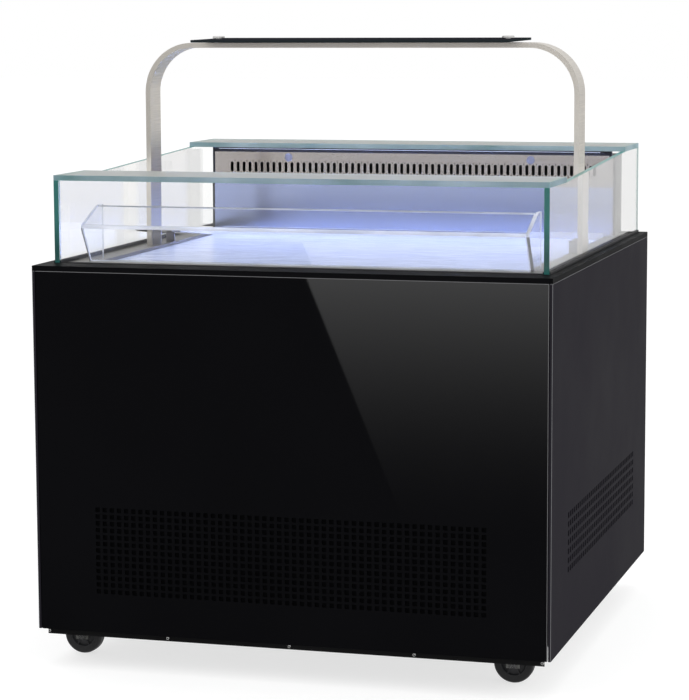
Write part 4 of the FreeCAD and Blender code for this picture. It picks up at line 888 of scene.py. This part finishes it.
class CABINET_OT_compressor(bpy.types.Operator):
    """Form the compressor's welded shell, its terminal box and its feet"""
    bl_idname = "cabinet.compressor"
    bl_label = "Compressor"

    def execute(self, context):
        black = plain_coat("shell_black", (0.012, 0.012, 0.013), 0.32, 500.0, 0.12)
        low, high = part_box("compressor")
        centre = ((low.x + high.x) / 2, (low.y + high.y) / 2, low.z)
        radius, tall = (high.x - low.x) / 2, high.z - low.z
        bm = bmesh.new()
        dome = [(radius * 0.97 * math.cos(a), tall * 0.72 + tall * 0.28 * math.sin(a))
                for a in (math.pi / 2 * k / 9 for k in range(9))]
        spun(bm, [(0, 0), (radius * 0.75, 0), (radius * 0.9, tall * 0.04), (radius * 0.97, tall * 0.12),
                  (radius * 0.97, tall * 0.46), (radius, tall * 0.465), (radius, tall * 0.49),
                  (radius * 0.97, tall * 0.5)] + dome + [(0, tall)], centre, (0, 0, 1), 64)
        make("compressor_shell", bm, [black], replaces=["compressor"])
        bm = bmesh.new()
        block(bm, (centre[0] - 0.03, low.y + 0.002, low.z + tall * 0.3),
              (centre[0] + 0.03, low.y + 0.02, low.z + tall * 0.68))
        make("terminal_box", bm, [plain_coat("box_grey", (0.16, 0.16, 0.17), 0.45)], bevel=0.003)
        low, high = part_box("compressor_feet")
        size, tall = 0.012, high.z - low.z
        bm = bmesh.new()
        for x in (low.x + size, high.x - size):
            for y in (low.y + size, high.y - size):
                spun(bm, [(0, 0), (size * 0.9, 0), (size, tall * 0.2), (size * 0.8, tall * 0.45),
                          (size, tall * 0.65), (size * 0.9, tall), (0, tall)], (x, y, low.z), (0, 0, 1), 28)
        make("rubber_feet", bm, [plain_coat("feet_rubber", (0.02, 0.02, 0.02), 0.7, 500.0, 0.3)])
        dress(brushed("feet_plate", (0.4, 0.4, 0.4), 0.45, "x"), "compressor_feet")
        return {"FINISHED"}


class CABINET_OT_coils(bpy.types.Operator):
    """Stack the fins, end plates and pipe bends of the condenser and the evaporator"""
    bl_idname = "cabinet.coils"
    bl_label = "Coils"

    def execute(self, context):
        chosen = sizes(context).metal
        fin = brushed("fin_aluminium", chosen.aluminium, 0.38, "z")
        end = brushed("coil_end_plate", (0.45, 0.46, 0.46), 0.42, "z")
        pipe = plain_coat("coil_copper", chosen.copper, 0.3, 400.0, 0.06, 0.06, 1.0)
        for node, rows in (("condenser_coil", 7), ("evaporator_coil", 5)):
            low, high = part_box(node)
            plate, bend, radius, half_fin, inset = 0.0016, 0.011, 0.0042, 0.00012, 0.0015
            first, last = low.x + bend, high.x - bend
            count = int((last - first) / chosen.fin_pitch)
            bm = bmesh.new()
            for k in range(1, count):
                x = first + (last - first) * k / count
                block(bm, (x - half_fin, low.y + inset, low.z + inset),
                      (x + half_fin, high.y - inset, high.z - inset))
            for x in (first, last - plate):
                block(bm, (x, low.y, low.z), (x + plate, high.y, high.z), 1)
            step = (high.z - low.z) / (rows * 2)
            for column in (0.3, 0.7):
                y = low.y + (high.y - low.y) * column
                for row in range(rows * 2):
                    z = low.z + step * (row + 0.5)
                    swept(bm, [(first - 0.001, y, z), (last + 0.001, y, z)], radius, 10, 2)
                for row in range(rows * 2 - 1):
                    z = low.z + step * (row + 1)
                    x, way = (last, 1) if row % 2 == 0 else (first, -1)
                    reach = way * (bend - radius - 0.0005)
                    swept(bm, [(x + reach * math.sin(t), y, z - step / 2 * math.cos(t))
                               for t in (math.pi * k / 8 for k in range(9))], radius, 10, 2)
            make(node + "_fins", bm, [fin, end, pipe], replaces=[node])
        dress(plain_coat("pipe_copper", chosen.copper, 0.28, 400.0, 0.05, 0.06, 1.0), "refrigerant_lines")
        return {"FINISHED"}


class CABINET_OT_fans(bpy.types.Operator):
    """Shape the twisted fan blades and finish their frames"""
    bl_idname = "cabinet.fans"
    bl_label = "Fans"

    def execute(self, context):
        blades = sizes(context).metal.blade_count
        plastic = plain_coat("fan_black", (0.02, 0.02, 0.022), 0.42, 700.0, 0.15)
        dress(plastic, "condenser_fan_frame", "evaporator_fan_frame")
        for node, body in (("condenser_fan_blade", "condenser_fan"),
                           ("evaporator_fan_blade", "evaporator_fan")):
            low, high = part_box(node)
            radius, depth = (high.x - low.x) / 2, high.y - low.y
            centre = Vector(((low.x + high.x) / 2, low.y, (low.z + high.z) / 2))
            hub, half_sheet, cuts = radius * 0.3, 0.0006, 8
            root, tip = hub * 0.95, radius * 0.985
            bm = bmesh.new()
            spun(bm, [(0, 0.0004), (hub * 0.8, 0.0004), (hub, 0.003), (hub, depth - 0.0005),
                      (0, depth - 0.0005)], centre, (0, 1, 0), 40)
            for blade in range(blades):
                rows = []
                for i in range(cuts + 1):
                    out = root + (tip - root) * i / cuts
                    spread = math.tau / blades * (0.34 + 0.42 * i / cuts)
                    lean = 0.12 * i / cuts
                    row = []
                    for k in range(cuts + 1):
                        t = k / cuts
                        angle = math.tau * blade / blades + spread * (t - 0.5) + lean
                        along = depth * (0.14 + 0.7 * t - 0.09 * math.sin(math.pi * t))
                        row.append((centre.x + out * math.cos(angle), centre.y + along,
                                    centre.z + out * math.sin(angle)))
                    rows.append(row)
                grids = []
                for side in (half_sheet, -half_sheet):
                    grid = [[bm.verts.new((x, y + side, z)) for x, y, z in row] for row in rows]
                    for i in range(cuts):
                        for k in range(cuts):
                            bm.faces.new((grid[i][k], grid[i + 1][k], grid[i + 1][k + 1], grid[i][k + 1]))
                    grids.append(grid)
                upper, lower = grids
                ring = ([(i, 0) for i in range(cuts + 1)] + [(cuts, k) for k in range(1, cuts + 1)]
                        + [(i, cuts) for i in range(cuts - 1, -1, -1)]
                        + [(0, k) for k in range(cuts - 1, 0, -1)])
                for (a, b), (c, d) in zip(ring, ring[1:] + ring[:1]):
                    bm.faces.new((upper[a][b], upper[c][d], lower[c][d], lower[a][b]))
            make(node + "_twisted", bm, [plastic], body, replaces=[node])
        return {"FINISHED"}


class CABINET_OT_controls(bpy.types.Operator):
    """Finish the rear controls: housings, display, buttons, rocker switch and power inlet"""
    bl_idname = "cabinet.controls"
    bl_label = "Controls"

    def execute(self, context):
        dress(plain_coat("control_plastic", (0.035, 0.035, 0.038), 0.4, 900.0, 0.15), "control_housings")
        dress(plain_coat("button_grey", (0.42, 0.42, 0.44), 0.45, 900.0, 0.12),
              "controller_button_set", "controller_button_defrost")
        dress(plain_coat("rocker_green", (0.02, 0.16, 0.05), 0.3, 900.0, 0.08), "rocker_switch")
        low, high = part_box("control_housings")
        face = high.y
        wide, tall, line = 0.0085, 0.016, 0.0014
        z0 = high.z - 0.024
        z1, zm = z0 + tall, z0 + tall / 2
        bm = bmesh.new()
        block(bm, (low.x + 0.007, face - 0.0006, high.z - 0.029),
              (low.x + 0.0355, face - 0.0001, high.z - 0.003))
        for lit_bars, x1 in (("abgcd", low.x + 0.0335), ("afgcd", low.x + 0.0205)):
            x0 = x1 - wide
            bars = {"a": (x0, z1 - line, x1, z1), "b": (x0, zm, x0 + line, z1),
                    "c": (x0, z0, x0 + line, zm), "d": (x0, z0, x1, z0 + line),
                    "f": (x1 - line, zm, x1, z1), "g": (x0, zm - line / 2, x1, zm + line / 2)}
            for bar in lit_bars:
                a, b, c, d = bars[bar]
                block(bm, (a, face - 0.0002, b), (c, face - 0.00001, d), 1)
        dark = plain_coat("display_window", (0.01, 0.004, 0.004), 0.12, 900.0, 0.02, 0.02)
        lit = Finish("display_digits", 0.4, Emission_Color=(1.0, 0.12, 0.05, 1.0))
        flicker = lit.noise(200.0)
        lit.feed(Base_Color=lit.blend(flicker, (0.6, 0.05, 0.03), (0.8, 0.1, 0.05)),
                 Emission_Strength=lit.between(flicker, 1.6, 2.2))
        make("controller_display", bm, [dark, lit])
        low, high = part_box("power_inlet")
        centre = ((low.x + high.x) / 2, low.y, (low.z + high.z) / 2)
        radius, depth = (high.x - low.x) / 2, high.y - low.y
        bm = bmesh.new()
        spun(bm, [(0, 0), (radius * 0.9, 0), (radius * 0.9, depth * 0.6), (radius, depth * 0.62),
                  (radius, depth - 0.0008), (radius * 0.94, depth), (radius * 0.8, depth),
                  (radius * 0.74, depth * 0.55), (0, depth * 0.55)], centre, (0, 1, 0), 44)
        ring, pin = 0.0042, 0.0013
        for k in range(3):
            turn = math.tau * k / 3 + math.pi / 2
            x, z = centre[0] + ring * math.cos(turn), centre[2] + ring * math.sin(turn)
            spun(bm, [(0, depth * 0.5), (pin, depth * 0.5), (pin, depth * 0.86), (0.0008, depth * 0.9),
                      (0, depth * 0.9)], (x, centre[1], z), (0, 1, 0), 16, 1)
        make("inlet_socket", bm, [plain_coat("inlet_black", (0.02, 0.02, 0.022), 0.4),
                                  brushed("inlet_pins", (0.7, 0.62, 0.4), 0.25, "y")],
             replaces=["power_inlet"])
        return {"FINISHED"}


class CABINET_OT_stage(bpy.types.Operator):
    """Lay the pale floor and set the soft lights and the camera"""
    bl_idname = "cabinet.stage"
    bl_label = "Stage"

    def backdrop(self, chosen):
        """A wide pale floor that shows no mirror image of itself."""
        size = 40.0
        bm = bmesh.new()
        bm.faces.new([bm.verts.new(p) for p in ((-size, -size, 0), (size, -size, 0),
                                                (size, size, 0), (-size, size, 0))])
        mesh = bpy.data.meshes.new("floor")
        bm.to_mesh(mesh)
        bm.free()
        pale = plain_coat("floor_pale", chosen.floor, 0.8, 40.0, 0.02, 0.05, lift=1.02)
        pale.shader.inputs["Emission Color"].default_value = (1, 1, 1, 1)
        pale.shader.inputs["Emission Strength"].default_value = 0.66
        mesh.materials.append(pale.material)
        floor = bpy.data.objects.new("floor", mesh)
        bpy.context.scene.collection.objects.link(floor)
        floor.visible_glossy = False

    def card(self):
        """A dark card with one bright, fading window, seen only in glossy surfaces."""
        left, right, y, foot, top = -9, 5, -6.0, -6, 0.30
        bm = bmesh.new()
        bm.faces.new([bm.verts.new(p) for p in ((left, y, foot), (right, y, foot),
                                                (right, y, top), (left, y, top))])
        mesh = bpy.data.meshes.new("reflection_card")
        bm.to_mesh(mesh)
        bm.free()
        material = bpy.data.materials.new("card_window")
        material.use_nodes = True
        tree = material.node_tree
        tree.nodes.clear()

        def maths(operation, first, second):
            node = tree.nodes.new("ShaderNodeMath")
            node.operation = operation
            node.use_clamp = operation == "DIVIDE"
            for socket, source in zip(node.inputs, (first, second)):
                if isinstance(source, bpy.types.NodeSocket):
                    tree.links.new(source, socket)
                else:
                    socket.default_value = source
            return node.outputs[0]

        parts = tree.nodes.new("ShaderNodeSeparateXYZ")
        tree.links.new(tree.nodes.new("ShaderNodeTexCoord").outputs["Object"], parts.inputs[0])
        x, _, z = parts.outputs
        slant = maths("ADD", maths("MULTIPLY", z, -0.414), -1.584)
        inside = maths("GREATER_THAN", x, slant)
        fade = maths("DIVIDE", maths("ADD", z, 0.95), 1.2)
        glow = maths("MULTIPLY", maths("MULTIPLY", inside, maths("POWER", fade, 2.6)), 2.4)
        glow = maths("ADD", glow, 0.03)
        light = tree.nodes.new("ShaderNodeEmission")
        tree.links.new(glow, light.inputs["Strength"])
        out = tree.nodes.new("ShaderNodeOutputMaterial")
        tree.links.new(light.outputs[0], out.inputs["Surface"])
        mesh.materials.append(material)
        card = bpy.data.objects.new("reflection_card", mesh)
        bpy.context.scene.collection.objects.link(card)
        for ray in ("camera", "diffuse", "transmission", "volume_scatter", "shadow"):
            setattr(card, "visible_" + ray, False)

    def sky(self):
        """White all round, and a softer sky for glossy surfaces to mirror."""
        world = bpy.data.worlds.new("studio")
        bpy.context.scene.world = world
        world.use_nodes = True
        tree = world.node_tree
        tree.nodes.clear()
        path = tree.nodes.new("ShaderNodeLightPath")
        parts = tree.nodes.new("ShaderNodeSeparateXYZ")
        tree.links.new(tree.nodes.new("ShaderNodeTexCoord").outputs["Generated"], parts.inputs[0])
        rise = tree.nodes.new("ShaderNodeMapRange")
        tree.links.new(parts.outputs["Z"], rise.inputs["Value"])
        for socket, value in (("From Min", -0.2), ("From Max", 0.9), ("To Min", 0.62), ("To Max", 0.95)):
            rise.inputs[socket].default_value = value
        shine = tree.nodes.new("ShaderNodeBackground")
        tree.links.new(rise.outputs["Result"], shine.inputs["Strength"])
        white = tree.nodes.new("ShaderNodeBackground")
        for glow in (shine, white):
            glow.inputs["Color"].default_value = (1.0, 1.0, 1.0, 1.0)
        white.inputs["Strength"].default_value = 1.0
        mix = tree.nodes.new("ShaderNodeMixShader")
        tree.links.new(path.outputs["Is Glossy Ray"], mix.inputs[0])
        tree.links.new(white.outputs[0], mix.inputs[1])
        tree.links.new(shine.outputs[0], mix.inputs[2])
        out = tree.nodes.new("ShaderNodeOutputWorld")
        tree.links.new(mix.outputs[0], out.inputs["Surface"])

    def lamp(self, name, place, target, size, power, shade=(1, 1, 1), tall=None):
        """A soft lamp that lights the cabinet and is not seen itself."""
        data = bpy.data.lights.new(name, "AREA")
        data.energy = power
        data.color = shade
        data.size = size
        if tall:
            data.shape = "RECTANGLE"
            data.size_y = tall
        light = bpy.data.objects.new(name, data)
        bpy.context.scene.collection.objects.link(light)
        light.location = place
        light.visible_camera = False
        light.visible_glossy = False
        light.visible_transmission = False
        light.rotation_euler = (Vector(target) - Vector(place)).to_track_quat("-Z", "Y").to_euler()

    def camera(self, chosen):
        """The camera in front of the cabinet, a little to its right and above it."""
        data = bpy.data.cameras.new("camera")
        data.lens = chosen.focal_length
        data.sensor_width = 36.0
        data.clip_end = 100.0
        camera = bpy.data.objects.new("camera", data)
        bpy.context.scene.collection.objects.link(camera)
        place = (1.41494, -4.96181, 1.24555)
        yaw, pitch, roll = 0.2839, 0.13128, -0.00454
        ahead = Vector((-math.sin(yaw) * math.cos(pitch), math.cos(yaw) * math.cos(pitch), -math.sin(pitch)))
        across = Vector((math.cos(yaw), math.sin(yaw), 0.0))
        up = across.cross(ahead)
        right = across * math.cos(roll) + up * math.sin(roll)
        above = up * math.cos(roll) - across * math.sin(roll)
        turn = Matrix((right, above, -ahead)).transposed().to_4x4()
        camera.matrix_world = Matrix.Translation(place) @ turn
        bpy.context.scene.camera = camera

    def execute(self, context):
        chosen = sizes(context).stage
        self.backdrop(chosen)
        self.card()
        self.sky()
        middle = (cad_low + cad_high) / 2
        self.lamp("soft_key", (-2.6, -3.2, 3.6), middle, 2.6, 60)
        self.lamp("soft_side", (4.2, -0.8, 2.4), middle, 2.4, 70)
        self.lamp("soft_top", (0.2, 0.4, 4.2), middle, 3.0, 50)
        low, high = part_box("led_lamp")
        self.lamp("deck_light", (0, low.y - 0.004, low.z - 0.004), (0, low.y - 0.35, 0.76),
                         high.x - low.x, 5.0, (0.60, 0.69, 1.0), 0.012)
        self.camera(chosen)
        scene = bpy.context.scene
        scene.view_settings.view_transform = "Standard"
        scene.view_settings.look = "None"
        return {"FINISHED"}


PIECES = (
    CABINET_OT_outer_panels, CABINET_OT_kick_screws, CABINET_OT_cold_tub, CABINET_OT_intake_grille,
    CABINET_OT_duct_face, CABINET_OT_duct_plugs, CABINET_OT_led_lamp, CABINET_OT_glass,
    CABINET_OT_canopy, CABINET_OT_guide, CABINET_OT_casters, CABINET_OT_compressor,
    CABINET_OT_coils, CABINET_OT_fans, CABINET_OT_controls, CABINET_OT_stage,
)


class CabinetSettings(bpy.types.PropertyGroup):
    """Everything that can be chosen about the cabinet."""
    panels: PointerProperty(type=CabinetPanelSettings)
    tub: PointerProperty(type=CabinetTubSettings)
    glass: PointerProperty(type=CabinetGlassSettings)
    metal: PointerProperty(type=CabinetMetalSettings)
    caster: PointerProperty(type=CabinetCasterSettings)
    stage: PointerProperty(type=CabinetStageSettings)


class CABINET_PT_pieces(bpy.types.Panel):
    """Lists the cabinet's settings and pieces"""
    bl_idname = "CABINET_PT_pieces"
    bl_label = "Display Cabinet"
    bl_space_type = "VIEW_3D"
    bl_region_type = "UI"
    bl_category = "Cabinet"

    def draw(self, context):
        chosen = sizes(context)
        for group in ("panels", "tub", "glass", "metal", "caster", "stage"):
            box = self.layout.box()
            box.label(text=group.title())
            settings = getattr(chosen, group)
            for key in settings.__annotations__:
                box.prop(settings, key)
        for piece in PIECES:
            self.layout.operator(piece.bl_idname)


CLASSES = (
    CabinetPanelSettings, CabinetTubSettings, CabinetGlassSettings, CabinetMetalSettings,
    CabinetCasterSettings, CabinetStageSettings, CabinetSettings, *PIECES, CABINET_PT_pieces,
)


def register():
    """Adds the settings, the pieces and the panel."""
    for item in CLASSES:
        bpy.utils.register_class(item)
    bpy.types.Scene.cabinet = PointerProperty(type=CabinetSettings)


def unregister():
    """Takes the settings, the pieces and the panel away."""
    del bpy.types.Scene.cabinet
    for item in reversed(CLASSES):
        bpy.utils.unregister_class(item)


def main():
    """Builds every piece in order, then the stage."""
    register()
    for piece in PIECES:
        group, action = piece.bl_idname.split(".")
        getattr(getattr(bpy.ops, group), action)()


if __name__ == "__main__":
    main()
